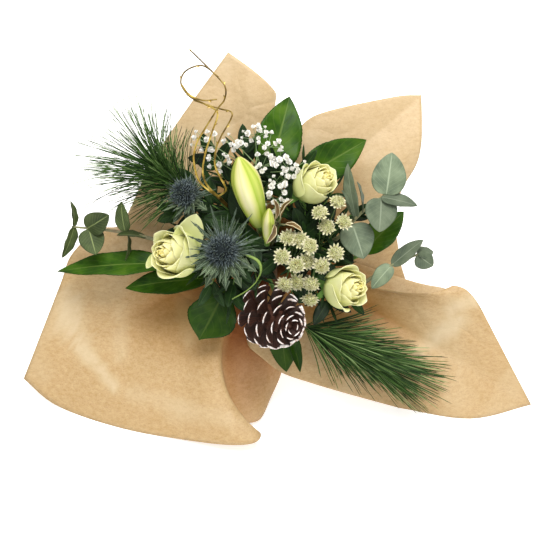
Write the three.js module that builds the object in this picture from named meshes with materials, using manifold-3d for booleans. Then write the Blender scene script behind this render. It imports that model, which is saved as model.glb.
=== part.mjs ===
// A hand-tied winter bouquet laid down on its side: white roses, a lily, sea holly, a frosted pine cone,
// pine, eucalyptus, lemon leaf, gypsophila and masterwort, held in one square of brown kraft paper.
// Millimetres, +Z up. The bouquet is built about its own axis, with the tie at the origin, the flower heads
// towards +Z of that axis and the stem ends below the tie, and is then tipped over and set on the surface.
import * as THREE from "three";
import { mergeVertices } from "three/addons/utils/BufferGeometryUtils.js";
import Module from "manifold-3d";

const wasm = await Module();
wasm.setup();

// ---- driving dimensions ----
const LEAN_DEG = 45; // the axis leans back from upright by this much
const SURFACE = -150; // y + z of the bouquet's own axes where it lies on the surface
const STEM_SPACING = 5.9; // between neighbouring stems inside the tie
const STEM_WIDTH = 6.3; // across the corners of a stem inside the tie
const STEM_END = -128.3; // cut ends, below the tie
const CLEARANCE = 0.35; // kept between two pieces that lie against each other
const PAPER_THICKNESS = 0.9;
const NECK_RADIUS = 19.8; // of the gathered paper under the tie
const GOLDEN_ANGLE = Math.PI * (3 - Math.sqrt(5));

const V = (x, y, z) => new THREE.Vector3(x, y, z);
const rad = THREE.MathUtils.degToRad;

// ---- closed meshes and solids ----

const manifold = (positions, index) =>
  new wasm.Manifold(
    new wasm.Mesh({ numProp: 3, vertProperties: positions, triVerts: new Uint32Array(index) }),
  );

// Points and triangles as a solid, with points that coincide merged and collapsed triangles dropped.
function solidOf(points, triangles) {
  const flat = new THREE.BufferGeometry().setFromPoints(points);
  flat.setIndex(triangles.flat());
  const merged = mergeVertices(flat, 1e-3);
  const kept = [];
  const index = merged.index.array;
  for (let i = 0; i < index.length; i += 3) {
    const [a, b, c] = [index[i], index[i + 1], index[i + 2]];
    if (a !== b && b !== c && c !== a) kept.push(a, b, c);
  }
  const solid = manifold(merged.getAttribute("position").array, kept);
  // wound the other way where the faces would point in
  return solid.volume() > 0 ? solid : manifold(merged.getAttribute("position").array, kept.reverse());
}

const join = (solids) => wasm.Manifold.union(solids);

// A skin of even thickness through a grid of points, rows by columns. A wrapped grid closes on itself.
function skin(grid, thickness, wrapped = false) {
  const rows = grid.length;
  const cols = grid[0].length;
  const at = (i, j) => {
    const column = wrapped ? (j + cols) % cols : Math.min(Math.max(j, 0), cols - 1);
    return grid[Math.min(Math.max(i, 0), rows - 1)][column];
  };
  const normals = grid.map((row, i) =>
    row.map((_, j) => {
      const along = at(i + 1, j).clone().sub(at(i - 1, j));
      const across = at(i, j + 1).clone().sub(at(i, j - 1));
      return along.cross(across);
    }),
  );
  grid.forEach((row, i) => {
    // a row drawn together into a tip takes one normal from its neighbour
    if (row[0].distanceTo(row[cols - 1]) > 1e-6 || wrapped) return;
    const inner = normals[i === 0 ? 1 : i - 1];
    const mean = inner.reduce((sum, n) => sum.add(n), V(0, 0, 0));
    normals[i] = row.map(() => mean.clone());
  });
  const points = [];
  for (const side of [1, -1]) {
    grid.forEach((row, i) =>
      row.forEach((p, j) => {
        const step = normals[i][j].clone().normalize().multiplyScalar((side * thickness) / 2);
        points.push(p.clone().add(step));
      }),
    );
  }
  const front = (i, j) => i * cols + (j % cols);
  const back = (i, j) => rows * cols + front(i, j);
  const triangles = [];
  const quad = (a, b, c, d) => triangles.push([a, b, c], [a, c, d]);
  const spans = wrapped ? cols : cols - 1;
  for (let i = 0; i < rows - 1; i++)
    for (let j = 0; j < spans; j++) {
      quad(front(i, j), front(i + 1, j), front(i + 1, j + 1), front(i, j + 1));
      triangles.push([back(i, j), back(i + 1, j + 1), back(i + 1, j)]);
      triangles.push([back(i, j), back(i, j + 1), back(i + 1, j + 1)]);
    }
  for (let j = 0; j < spans; j++) {
    quad(front(0, j), front(0, j + 1), back(0, j + 1), back(0, j));
    quad(front(rows - 1, j + 1), front(rows - 1, j), back(rows - 1, j), back(rows - 1, j + 1));
  }
  if (!wrapped)
    for (let i = 0; i < rows - 1; i++) {
      quad(front(i + 1, 0), front(i, 0), back(i, 0), back(i + 1, 0));
      quad(front(i, cols - 1), front(i + 1, cols - 1), back(i + 1, cols - 1), back(i, cols - 1));
    }
  return solidOf(points, triangles);
}

// Rings of points joined into one closed solid. A ring drawn together into a point makes a tip.
function loft(rings) {
  const n = rings[0].length;
  const last = (rings.length - 1) * n;
  const triangles = [];
  for (let i = 0; i < rings.length - 1; i++)
    for (let j = 0; j < n; j++) {
      const a = i * n + j;
      const b = i * n + ((j + 1) % n);
      triangles.push([a, b, b + n], [a, b + n, a + n]);
    }
  for (let j = 1; j < n - 1; j++) triangles.push([0, j + 1, j], [last, last + j, last + j + 1]);
  return solidOf(rings.flat(), triangles);
}

// ---- frames, curves and the shapes of stems and leaves ----

const point = (list) => V(...list);
const through = (list) => new THREE.CatmullRomCurve3(list.map(point), false, "centripetal");
const shares = (steps) => Array.from({ length: steps + 1 }, (_, i) => i / steps);
const towards = (from, to) => to.clone().sub(from).normalize();

// A frame at a point: t is its direction, n the way its upper face looks, r across.
function frame(p, t, facing) {
  const n = facing.clone().addScaledVector(t, -facing.dot(t)).normalize();
  return { p, t, n, r: n.clone().cross(t), s: 0 };
}

const framesAlong = (curve, steps, facing) =>
  shares(steps).map((s) => ({ ...frame(curve.getPointAt(s), curve.getTangentAt(s), facing), s }));

// A point given in a frame: across, up from its face, and onwards.
const inFrame = ({ p, t, n, r }, across, up, on = 0) =>
  p.clone().addScaledVector(r, across).addScaledVector(n, up).addScaledVector(t, on);

const ringIn = (f, radius, sides, turn = 0, on = 0) =>
  Array.from({ length: sides }, (_, j) => {
    const angle = turn + (2 * Math.PI * (j + 0.5)) / sides;
    const reach = typeof radius === "function" ? radius(j) : radius;
    return inFrame(f, reach * Math.cos(angle), reach * Math.sin(angle), on);
  });

const rod = (curve, radiusAt, steps, sides, facing = V(0, 1, 0.01)) =>
  loft(framesAlong(curve, steps, facing).map((f) => ringIn(f, radiusAt(f.s), sides)));

// An outline that is 0 at both ends and 1 at its widest; early and late set how full the ends are.
function outline(s, early, late) {
  const widest = early / (early + late);
  return (s ** early * (1 - s) ** late) / (widest ** early * (1 - widest) ** late);
}

// A leaf from its foot to its tip: bow lifts its middle, fold lifts its edges, wave ripples them.
function leaf(foot, tip, facing, shape) {
  const { half, early = 0.8, late = 1, bow = 0.06, fold = 0.2, wave = 0, rows = 6, cols = 3 } = shape;
  const { thickness = 0.8, stalk = 0.8 } = shape;
  const mid = foot.clone().lerp(tip, 0.5).addScaledVector(facing, bow * foot.distanceTo(tip));
  const spine = new THREE.QuadraticBezierCurve3(foot, mid, tip);
  const grid = framesAlong(spine, rows, facing).map((f) => {
    const reach = Math.max(half * outline(f.s, early, late), f.s < 0.5 ? stalk : 0.3);
    return Array.from({ length: cols }, (_, j) => {
      const x = (2 * j) / (cols - 1) - 1;
      const ripple = wave * x * x * Math.sin(2.6 * 2 * Math.PI * f.s + (x > 0 ? 1.2 : 0));
      return inFrame(f, x * reach, reach * (fold * Math.abs(x) + ripple));
    });
  });
  return skin(grid, thickness);
}

// The foot of a leaf, set back a little into the twig that bears it.
const sunk = (foot, tip, depth = 0.9) =>
  point(foot).addScaledVector(towards(point(foot), point(tip)), -depth);

// A small leaf or bract with a lens-shaped section, pointed at its tip.
function sliver(foot, tip, facing, shape) {
  const { half, early = 0.5, late = 0.7, bow = 0.06, fold = 0.15, thick = 1.2, rows = 5 } = shape;
  const { stalk = 0.8, toothed = false } = shape;
  const mid = foot.clone().lerp(tip, 0.5).addScaledVector(facing, bow * foot.distanceTo(tip));
  const spine = new THREE.QuadraticBezierCurve3(foot, mid, tip);
  const rings = framesAlong(spine, rows, facing).map((f, i) => {
    const tooth = toothed && i % 2 === 0 ? 0.42 : 1;
    const reach = Math.max(half * outline(f.s, early, late) * tooth, f.s < 0.5 ? stalk : 0);
    const body = f.s < 1 ? thick / 2 : 0;
    const edge = reach * fold;
    return [inFrame(f, reach, edge), inFrame(f, 0, body), inFrame(f, -reach, edge), inFrame(f, 0, -body)];
  });
  return loft(rings);
}

// Seeded draws, so that every build is alike.
function draws(seed) {
  let state = seed;
  return (low, high) => {
    state = (Math.imul(state, 1664525) + 1013904223) >>> 0;
    return low + ((high - low) * state) / 2 ** 32;
  };
}

// Sections joined round into a ring.
function loopOf(sections) {
  const n = sections[0].length;
  const count = sections.length;
  const triangles = [];
  for (let i = 0; i < count; i++)
    for (let j = 0; j < n; j++) {
      const [a, b] = [i * n + j, i * n + ((j + 1) % n)];
      const [c, d] = [((i + 1) % count) * n + j, ((i + 1) % count) * n + ((j + 1) % n)];
      triangles.push([a, b, d], [a, d, c]);
    }
  return solidOf(sections.flat(), triangles);
}

// ---- the kraft paper ----
// Each row is one radial line of the sheet: the place of its outer edge [x, y, height], and how far the
// line bows aside on its way there. The list goes round anticlockwise, seen from the flowers' side.
const PAPER_EDGE = [
  [[277, -163, 12]],
  [[232, -83, 36]],
  [[216, -55, 44], [0, -20, 0]],
  [[203, -41, 46], [0, -36, 4]],
  [[190, -38, 41], [0, -44, 4]],
  [[202, -48, 29], [0, -36, 0]],
  [[209, -57, 18], [0, -26, -4]],
  [[190, -42, 10], [0, -20, -6]],
  [[164, -37, 5]],
  [[139, -36, 0]],
  [[126, -41, -6]],
  [[136, -46, -14]],
  [[147, -36, -12]],
  [[141, -13, -5]],
  [[133, 32, 6]],
  [[140, 62, 18]],
  [[154, 87, 28]],
  [[159, 108, 34]],
  [[160, 134, 32]],
  [[160, 161, 26]],
  [[134, 159, 30]],
  [[65, 144, 34]],
  [[38, 132, 28]],
  [[21, 108, 18]],
  [[8, 122, 4]],
  [[1, 146, 10]],
  [[9, 160, 26]],
  [[0, 172, 36]],
  [[-18, 187, 40]],
  [[-41, 204, 36]],
  [[-91, 136, 32]],
  [[-123, 88, 22]],
  [[-147, 40, 8]],
  [[-158, 25, 8]],
  [[-178, 21, 16]],
  [[-204, -5, 28]],
  [[-216, -35, 25]],
  [[-258, -136, 6]],
  [[-228, -160, 14], [-10, 0, 0]],
  [[-190, -175, 25], [-20, 0, 4]],
  [[-142, -187, 36], [-32, 0, 6]],
  [[-90, -195, 48], [-46, 0, 8]],
  [[-42, -199, 64], [-64, 0, 8]],
  [[-14, -197, 66], [-82, 0, 8]],
  [[-7, -188, 60], [-84, 0, 4]],
  [[-20, -182, 50], [-66, 0, -2]],
  [[-24, -180, 41], [-44, 0, -8]],
  [[-8, -176, 34], [-26, 0, -12]],
  [[3, -155, 17]],
  [[14, -130, 4]],
  [[14, -114, 2]],
  [[-2, -100, 8]],
  [[-20, -92, 24]],
  [[-20, -100, 36]],
  [[-8, -111, 34]],
  [[14, -128, 28]],
  [[44, -139, 22]],
  [[80, -150, 18]],
  [[138, -166, 16]],
  [[211, -176, 25]],
];
const PAPER_STATIONS = [-2, -1, 0, 0.18, 0.55, 1]; // below the tie, then shares of the way out
const NECK_LENGTH = 11; // of the straight neck that the tie holds
const RUFF = { length: 15, flare: 8, pleat: 2.2, pleats: 17 }; // the gathered paper below the neck
const COLLAR_RISE = 30; // the paper follows the stems this far before it opens out
const BELLY_HEIGHT = 42; // of the sheet half way out

function paperPoint(edge, bow, turn, share) {
  const pleat = RUFF.pleat * Math.cos(RUFF.pleats * turn);
  const ring = (radius, height) => V(radius * Math.cos(turn), radius * Math.sin(turn), height);
  if (share === -1) return ring(NECK_RADIUS, -NECK_LENGTH);
  if (share === -2) return ring(NECK_RADIUS + RUFF.flare + pleat, -NECK_LENGTH - RUFF.length);
  const outer = V(...edge);
  outer.z = Math.max(outer.z, SURFACE + PAPER_THICKNESS * 0.7 - outer.y); // lies on the surface
  const neck = ring(NECK_RADIUS, 0);
  const collar = ring(NECK_RADIUS * 1.55, COLLAR_RISE);
  const belly = neck.clone().lerp(outer, 0.62).add(V(...bow));
  belly.z = (outer.z + BELLY_HEIGHT) / 2 + bow[2];
  return new THREE.CubicBezierCurve3(neck, collar, belly, outer).getPoint(share);
}

function paperWrap() {
  const count = PAPER_EDGE.length;
  const firstTurn = Math.atan2(PAPER_EDGE[0][0][1], PAPER_EDGE[0][0][0]);
  const grid = PAPER_STATIONS.map((share) =>
    PAPER_EDGE.map(([edge, bow = [0, 0, 0]], k) =>
      paperPoint(edge, bow, firstTurn + (2 * Math.PI * k) / count, share),
    ),
  );
  return skin(grid, PAPER_THICKNESS, true);
}

// ---- the stems ----
// Inside the tie the stems stand in a honeycomb. Below it they run straight to their cut ends, a little
// apart and turned, as in a bouquet that was turned in the hand while it was bound.
const STEM_SPREAD = 1.3;
const STEM_TWIST = rad(-28);
const TIE_HALF = 6; // the stems stay in the honeycomb this far above the tie

function honeycomb() {
  const places = [];
  for (let i = -3; i <= 3; i++)
    for (let j = -3; j <= 3; j++) {
      const rank = i * i + i * j + j * j;
      const place = V(STEM_SPACING * (i + j / 2), STEM_SPACING * j * Math.sin(Math.PI / 3), 0);
      const turn = (Math.atan2(place.y, place.x) + 2 * Math.PI) % (Math.PI / 3);
      if (rank <= 4 || (rank === 7 && turn < Math.PI / 6)) places.push(place);
    }
  return places;
}

// Each stem gets a place in the honeycomb. The places are swapped between stems until no swap brings
// them nearer to where their heads want them.
function sharePlaces(heads) {
  const wanted = heads.map(({ x, y, z }) => V(x, y, 0).multiplyScalar(18 / (z + 20)).clampLength(0, 16));
  const places = honeycomb();
  const cost = (i, j) => wanted[i].distanceToSquared(places[j]);
  for (let swapped = true; swapped; ) {
    swapped = false;
    for (let i = 0; i < places.length; i++)
      for (let j = i + 1; j < places.length; j++)
        if (cost(i, j) + cost(j, i) < cost(i, i) + cost(j, j) - 1e-6) {
          [places[i], places[j]] = [places[j], places[i]];
          swapped = true;
        }
  }
  return heads.map((head, i) => ({ head, place: places[i] }));
}

const placeUnder = (head) => {
  const nearer = (a, b) => (head.distanceTo(b.head) < head.distanceTo(a.head) ? b : a);
  return TIE_PLACES.reduce(nearer).place;
};

// A stem from its cut end, through the tie, to its head, which it meets along the given direction.
function stem(head, direction, radius, { steps = 2, lift = 42, ease = 34 } = {}) {
  const foot = placeUnder(head);
  const level = (p, turn) =>
    Array.from({ length: 6 }, (_, j) => {
      const angle = turn + (Math.PI * (j + 0.5)) / 3;
      return p.clone().add(V(Math.cos(angle), Math.sin(angle), 0).multiplyScalar(STEM_WIDTH / 2));
    });
  const cut = foot.clone().multiplyScalar(STEM_SPREAD).applyAxisAngle(V(0, 0, 1), STEM_TWIST);
  const low = cut.setZ(STEM_END);
  const root = foot.clone().setZ(-NECK_LENGTH);
  const shoulder = foot.clone().setZ(TIE_HALF);
  const rise = foot.clone().multiplyScalar(1.7).setZ(lift);
  const under = head.clone().addScaledVector(direction, -ease);
  const curve = new THREE.CubicBezierCurve3(shoulder, rise, under, head);
  const upper = framesAlong(curve, steps, V(0, 1, 0.01)).slice(1);
  const widthAt = (s) => THREE.MathUtils.lerp(STEM_WIDTH / 2, radius, Math.min(1, s * 2.5));
  const rings = upper.map((f) => ringIn(f, widthAt(f.s), 6));
  return loft([level(low, STEM_TWIST), level(root, 0), level(shoulder, 0), ...rings]);
}

// ---- roses ----
// A half-open rose: a closed heart, and petals wound round it, the outer ones rolled back at the rim.
const ROSES = {
  rose_left: { centre: [-90, -6, 112], axis: [-0.62, 0.08, 0.78], width: 56, height: 48, turn: 0.4 },
  rose_top: { centre: [46, 63, 113], axis: [0.6, 0.35, 0.72], width: 46, height: 46, turn: 1.7 },
  rose_right: { centre: [76, -39, 110], axis: [0.65, 0.05, 0.76], width: 48, height: 46, turn: 2.9 },
};
const ROSE_PETALS = 8;
const PETAL_THICKNESS = 1;

function roseFrame({ centre, axis, height }) {
  const t = point(axis).normalize();
  return frame(point(centre).addScaledVector(t, -height / 2), t, V(0, 1, 0));
}

function petal(f, { width, height, turn }, k) {
  const share = k / (ROSE_PETALS - 1);
  const reach = width * (0.26 + 0.18 * share);
  const tall = height * (1.02 - 0.17 * share);
  const spread = 1.3 - 0.45 * share;
  const roll = 0.17 * width * Math.max(0, share - 0.3);
  const at = (u, v, side) => {
    const shut = (1 - share) * 0.45 * v ** 3;
    const rim = roll * Math.max(0, (v - 0.6) / 0.4);
    const root = v < 0.3 ? 0.72 : 1;
    const radius = reach * root * (1 - shut) + rim + 0.9 * u + side * PETAL_THICKNESS;
    const angle = turn + k * GOLDEN_ANGLE + u * spread * (0.6 + 0.4 * Math.sin(Math.PI * v));
    const up = tall * v * (1 - 0.13 * u * u * v) - rim * 0.4;
    return inFrame(f, radius * Math.cos(angle), radius * Math.sin(angle), up);
  };
  const rings = [0.22, 0.5, 0.8, 1].map((v) => [
    at(-1, v, 0),
    at(-0.4, v, -0.5),
    at(0.4, v, -0.5),
    at(1, v, 0),
    at(0.4, v, 0.5),
    at(-0.4, v, 0.5),
  ]);
  return loft(rings);
}

function roseBloom(rose) {
  const f = roseFrame(rose);
  const profile = [[0.1, 0.03], [0.27, 0.12], [0.34, 0.28], [0.18, 0.5], [0.15, 0.8], [0, 1]];
  const heart = profile.map(([across, up]) => ringIn(f, rose.width * across, 7, 0, rose.height * up));
  const petals = Array.from({ length: ROSE_PETALS }, (_, k) => petal(f, rose, k));
  return join([loft(heart), ...petals]);
}

function roseStem(rose) {
  const f = roseFrame(rose);
  const hip = [[2.4, -9], [5, -5], [5.4, 1.2]];
  const sepals = Array.from({ length: 5 }, (_, k) => {
    const around = inFrame({ ...f, p: V(0, 0, 0) }, Math.cos(1.257 * k), Math.sin(1.257 * k));
    const foot = f.p.clone().addScaledVector(f.t, -2).addScaledVector(around, 4.2);
    const tip = f.p.clone().addScaledVector(f.t, -4).addScaledVector(around, 0.4 * rose.width);
    const shape = { half: 4, early: 0.4, late: 1.1, bow: -0.12, fold: 0, rows: 2, stalk: 1.6 };
    return sliver(foot, tip, f.t, shape);
  });
  const top = f.p.clone().addScaledVector(f.t, -6);
  return join([
    stem(top, f.t, 2.5),
    loft(hip.map(([radius, up]) => ringIn(f, radius, 7, 0, up))),
    ...sepals,
  ]);
}

// ---- the lily buds ----
// Three outer petals wrap three inner ones, so the section has three lobes, each with one edge on top.
const LILY_BUDS = {
  lily_bud_large: { foot: [-5, 24, 106], tip: [-26, 86, 150], half: 14.5, points: 15, rows: 8 },
  lily_bud_small: { foot: [3, 6, 108], tip: [6, 38, 143], half: 5.5, points: 9, rows: 5 },
};
const LILY_FORK = [-4, 12, 84];

function lilyBud({ foot, tip, half, points, rows }) {
  const [from, to] = [point(foot), point(tip)];
  const mid = from.clone().lerp(to, 0.55).add(V(half * 0.35, 0, half * 0.3));
  const spine = new THREE.QuadraticBezierCurve3(from, mid, to);
  const rings = framesAlong(spine, rows, V(0.3, 0, 1)).map((f) => {
    const swell = half * (0.36 + 0.64 * Math.sin(Math.PI * Math.min(1, f.s * 0.8 + 0.08)) ** 1.1);
    const close = Math.sqrt(Math.max(0, 1 - ((f.s - 0.6) / 0.4) ** 2));
    const radius = f.s < 0.6 ? swell : swell * Math.max(close, 0.12);
    return ringIn(f, (j) => radius * (0.93 + 0.14 * (((3 * j) / points) % 1)), points);
  });
  return loft(rings);
}

function lilyStem() {
  const fork = point(LILY_FORK);
  const arms = Object.values(LILY_BUDS).map(({ foot, tip }) => {
    const end = point(foot);
    const way = towards(end, point(tip));
    const bend = end.clone().addScaledVector(way, -10);
    return rod(new THREE.QuadraticBezierCurve3(fork, bend, end), (s) => 2.3 + s, 3, 6);
  });
  return join([stem(fork, V(0, 0.2, 1).normalize(), 2.6), ...arms]);
}

// ---- sea holly ----
// A spiny blue-grey head in a ruff of toothed, pointed bracts.
const SEA_HOLLIES = {
  sea_holly_upper: { at: [-81, 53, 116], axis: [-0.4, 0.35, 0.84], core: 11, ruff: 36, bracts: 9, seed: 3 },
  sea_holly_lower: { at: [-43, -3, 142], axis: [-0.1, 0, 0.99], core: 13, ruff: 45, bracts: 12, seed: 8 },
};
const SPINES = 18;

function seaHollyHead({ at, axis, core }) {
  const f = frame(point(at), point(axis).normalize(), V(0, 1, 0));
  const dome = [[0.62, -0.8], [0.92, -0.3], [0.9, 0.3], [0.62, 0.82], [0, 1.15]];
  const spines = Array.from({ length: SPINES }, (_, k) => {
    const height = -0.45 + (1.4 * (k + 0.5)) / SPINES;
    const turn = k * GOLDEN_ANGLE;
    const side = Math.sqrt(Math.max(0.05, 1 - height * height));
    const out = inFrame({ ...f, p: V(0, 0, 0) }, side * Math.cos(turn), side * Math.sin(turn), height);
    const root = f.p.clone().addScaledVector(out, core * 0.6);
    const tip = f.p.clone().addScaledVector(out, core * 1.28);
    const spine = new THREE.LineCurve3(root, tip);
    return rod(spine, (s) => (s < 0.5 ? 2 : 0), 1, 3, V(0.3, 0.9, 0.2));
  });
  return join([loft(dome.map(([r, up]) => ringIn(f, core * r, 9, 0, core * up))), ...spines]);
}

function seaHollyStem({ at, axis, core, ruff, bracts, seed }) {
  const f = frame(point(at), point(axis).normalize(), V(0, 1, 0));
  const draw = draws(seed);
  const top = f.p.clone().addScaledVector(f.t, -core * 0.8 - CLEARANCE);
  const blades = Array.from({ length: bracts }, (_, k) => {
    const turn = k * GOLDEN_ANGLE;
    const around = inFrame({ ...f, p: V(0, 0, 0) }, Math.cos(turn), Math.sin(turn));
    const reach = ruff * draw(0.78, 1);
    const foot = top.clone().addScaledVector(f.t, k % 2 ? -1.2 : -2.9).addScaledVector(around, 3.2);
    const tip = top.clone().addScaledVector(around, reach).addScaledVector(f.t, reach * draw(-0.1, 0.35));
    const shape = { half: 0.09 * ruff, rows: 4, bow: -0.1, stalk: 0.9, toothed: true };
    return sliver(foot, tip, f.t, shape);
  });
  const collar = [[2, -5], [4.6, -2.6], [5.2, 0]].map(([r, up]) => ringIn({ ...f, p: top }, r, 6, 0, up));
  return join([stem(top.clone().addScaledVector(f.t, -3), f.t, 2), loft(collar), ...blades]);
}

// ---- the pine cone ----
const CONE = { at: [8, -70, 122], axis: [0.6, -0.25, 0.76], radius: 31, length: 58, scales: 32 };

function coneFrame() {
  const t = point(CONE.axis).normalize();
  return frame(point(CONE.at).addScaledVector(t, -CONE.length / 2), t, V(0, 1, 0));
}

function pineCone() {
  const f = coneFrame();
  const { radius, length, scales } = CONE;
  const core = [[0.2, 0], [0.42, 0.08], [0.5, 0.35], [0.42, 0.65], [0.2, 0.86], [0, 0.92]];
  const blades = Array.from({ length: scales }, (_, k) => {
    const share = (k + 0.5) / scales;
    const turn = k * GOLDEN_ANGLE;
    const up = length * (0.08 + 0.78 * share ** 0.9);
    const swell = Math.sqrt(Math.max(0.02, 1 - ((share - 0.3) / 0.74) ** 2));
    const pitch = rad(-4 + 74 * share ** 1.3);
    const around = inFrame({ ...f, p: V(0, 0, 0) }, Math.cos(turn), Math.sin(turn));
    const way = around.clone().multiplyScalar(Math.cos(pitch)).addScaledVector(f.t, Math.sin(pitch));
    const root = f.p.clone().addScaledVector(f.t, up).addScaledVector(around, radius * 0.3 * swell);
    const g = frame(root, way, f.t);
    const reach = radius * 0.7 * swell;
    const wide = 2.5 + 5.5 * swell;
    const section = (on, half, thick) => [
      inFrame(g, half, 0, on * reach),
      inFrame(g, 0, thick, on * reach),
      inFrame(g, -half, 0, on * reach),
      inFrame(g, 0, -thick * 0.6, on * reach),
    ];
    return loft([
      section(0.1, 1.8, 1.4),
      section(0.8, wide, 1.5),
      section(1, wide * 0.5, 1.9),
    ]);
  });
  return join([loft(core.map(([r, s]) => ringIn(f, radius * r, 8, 0, length * s))), ...blades]);
}

function pineConePick() {
  const f = coneFrame();
  return stem(f.p.clone().addScaledVector(f.t, -CLEARANCE), f.t, 1.6);
}

// ---- pine ----
// Bundles of long needles all round the end of a twig, swept towards its tip.
const PINES = {
  pine_left: {
    twig: [[-70, 51, 80], [-90, 64, 86], [-112, 82, 92]],
    needles: 44,
    length: [64, 86],
    sweep: 0.85,
    sag: [-0.06, 0.0, 0.0],
    seed: 21,
  },
  pine_right: {
    twig: [[28, -74, 78], [62, -91, 73], [98, -110, 69]],
    needles: 50,
    length: [72, 98],
    sweep: 2.3,
    sag: [0.02, -0.06, -0.08],
    seed: 34,
  },
};

function pineSpray({ twig, needles, length, sweep, sag, seed }) {
  const curve = through(twig);
  const draw = draws(seed);
  const blades = Array.from({ length: needles }, (_, k) => {
    const s = 0.12 + (0.86 * (k + 0.5)) / needles;
    const f = frame(curve.getPointAt(s), curve.getTangentAt(s), V(0, 0, 1));
    const turn = k * GOLDEN_ANGLE;
    const ahead = sweep * (0.5 + 0.6 * s) * draw(0.6, 1.5);
    const out = inFrame({ ...f, p: V(0, 0, 0) }, Math.cos(turn), Math.sin(turn), ahead).normalize();
    const reach = draw(...length) * (0.62 + 0.38 * s);
    const root = inFrame(f, 1.1 * Math.cos(turn), 1.1 * Math.sin(turn));
    const tip = root.clone().addScaledVector(out, reach).addScaledVector(point(sag), reach);
    tip.z = Math.max(tip.z, SURFACE + 5 - tip.y); // none dips into the surface
    return rod(new THREE.LineCurve3(root, tip), (t) => (t < 0.5 ? 0.8 : 0), 1, 3, V(0.35, 0.2, 0.9));
  });
  const head = point(twig[0]);
  const low = { lift: 30, ease: 30 };
  const twigWood = rod(curve, () => 2, 3, 5, V(0, 0, 1));
  return join([stem(head, curve.getTangentAt(0), 2, low), twigWood, ...blades]);
}

// ---- eucalyptus ----
// Pairs of grey-green leaves on thin twigs. Each leaf: its foot, its tip, half its width, its face.
const EUCALYPTUS = {
  eucalyptus_left: {
    twig: [[-108, 8, 78], [-150, 17, 78], [-197, 22, 75]],
    leaves: [
      [[-143, 17, 78], [-146, 46, 92], 8, [-0.3, -0.5, 0.8]],
      [[-141, 15, 77], [-141, -12, 82], 8, [1, 0, 0.1]],
      [[-182, 20, 76], [-158, 33, 90], 12, [-0.3, -0.3, 0.9]],
      [[-180, 20, 76], [-172, -6, 82], 13, [0.2, -0.2, 1]],
      [[-195, 22, 75], [-197, 48, 76], 6.5, [1, 0, 0.35]],
      [[-195, 22, 75], [-208, -9, 70], 8, [0.8, -0.3, 0.55]],
      [[-122, 11, 78], [-150, 14, 90], 8, [0.1, 0.85, 0.4]],
    ],
  },
  eucalyptus_right_upper: {
    twig: [[76, 16, 92], [92, 34, 100], [118, 54, 108]],
    leaves: [
      [[117, 52, 108], [122, 93, 118], 17, [0, -0.1, 1]],
      [[112, 50, 108], [147, 40, 112], 8, [0, 0.5, 0.8]],
      [[112, 49, 107], [110, 16, 116], 16, [0.1, 0.3, 1]],
      [[94, 34, 101], [86, 64, 118], 8, [0.9, 0.3, 0.3]],
      [[86, 28, 98], [72, 55, 122], 7, [0.2, 0.7, 0.6]],
      [[88, 30, 98], [80, 82, 120], 8, [-0.6, 0, 0.8]],
      [[84, 24, 96], [95, -10, 108], 17, [0, 0.3, 0.9]],
    ],
  },
  eucalyptus_right_lower: {
    twig: [[98, -34, 78], [122, -18, 86], [150, -6, 90]],
    leaves: [
      [[124, -17, 87], [104, -40, 86], 9, [-0.2, 0.2, 1]],
      [[124, -17, 87], [154, 7, 94], 8, [0.2, 0.5, 0.8]],
      [[149, -6, 90], [165, -18, 92], 10, [0, -0.3, 1]],
      [[149, -6, 90], [166, -4, 84], 7, [0, 0.5, 0.8]],
    ],
  },
};

function eucalyptus({ twig, leaves }) {
  const curve = through(twig);
  const shape = { early: 0.45, late: 0.62, bow: 0.07, fold: 0.14, rows: 4, stalk: 0.7, thick: 1.3 };
  return join([
    stem(point(twig[0]), curve.getTangentAt(0), 1.9),
    rod(curve, (s) => 1.9 - s, 3, 4, V(0, 0, 1)),
    ...leaves.map(([foot, tip, half, face]) =>
      sliver(sunk(foot, tip), point(tip), point(face).normalize(), { ...shape, half }),
    ),
  ]);
}

// ---- gypsophila and masterwort ----
// Fine branching stems. Gypsophila carries small ruffled florets, masterwort starry heads of bracts.
const GYPSOPHILA = {
  fork: [-16, 62, 84],
  hubs: [
    [11, 45, 115],
    [-47, 84, 110],
    [13, 62, 115],
    [-4, 80, 118],
    [26, 76, 111],
    [-62, 106, 106],
    [16, 86, 115],
    [-30, 102, 111],
    [3, 99, 115],
    [-12, 112, 112],
  ],
  florets: 3,
  spread: 9,
  seed: 55,
};
const MASTERWORT = {
  masterwort_left: {
    fork: [26, -10, 94],
    heads: [[32, 7, 124], [41, 1, 129], [15, -9, 131], [28, -17, 129], [17, -35, 125], [29, -33, 118]],
  },
  masterwort_right: {
    fork: [52, 0, 92],
    heads: [[68, 43, 124], [51, 33, 125], [74, 24, 121], [66, -5, 124], [53, -17, 123], [43, -34, 122]],
  },
};
const STAR = { radius: 10.5, rays: 6, cup: 2.2, tuft: 5, tall: 6 };

const thread = (from, to, thick, sag, sides = 3) => {
  const mid = from.clone().lerp(to, 0.5).add(V(0, 0, -sag));
  return rod(new THREE.QuadraticBezierCurve3(from, mid, to), () => thick, sag > 0 ? 2 : 1, sides);
};

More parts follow.
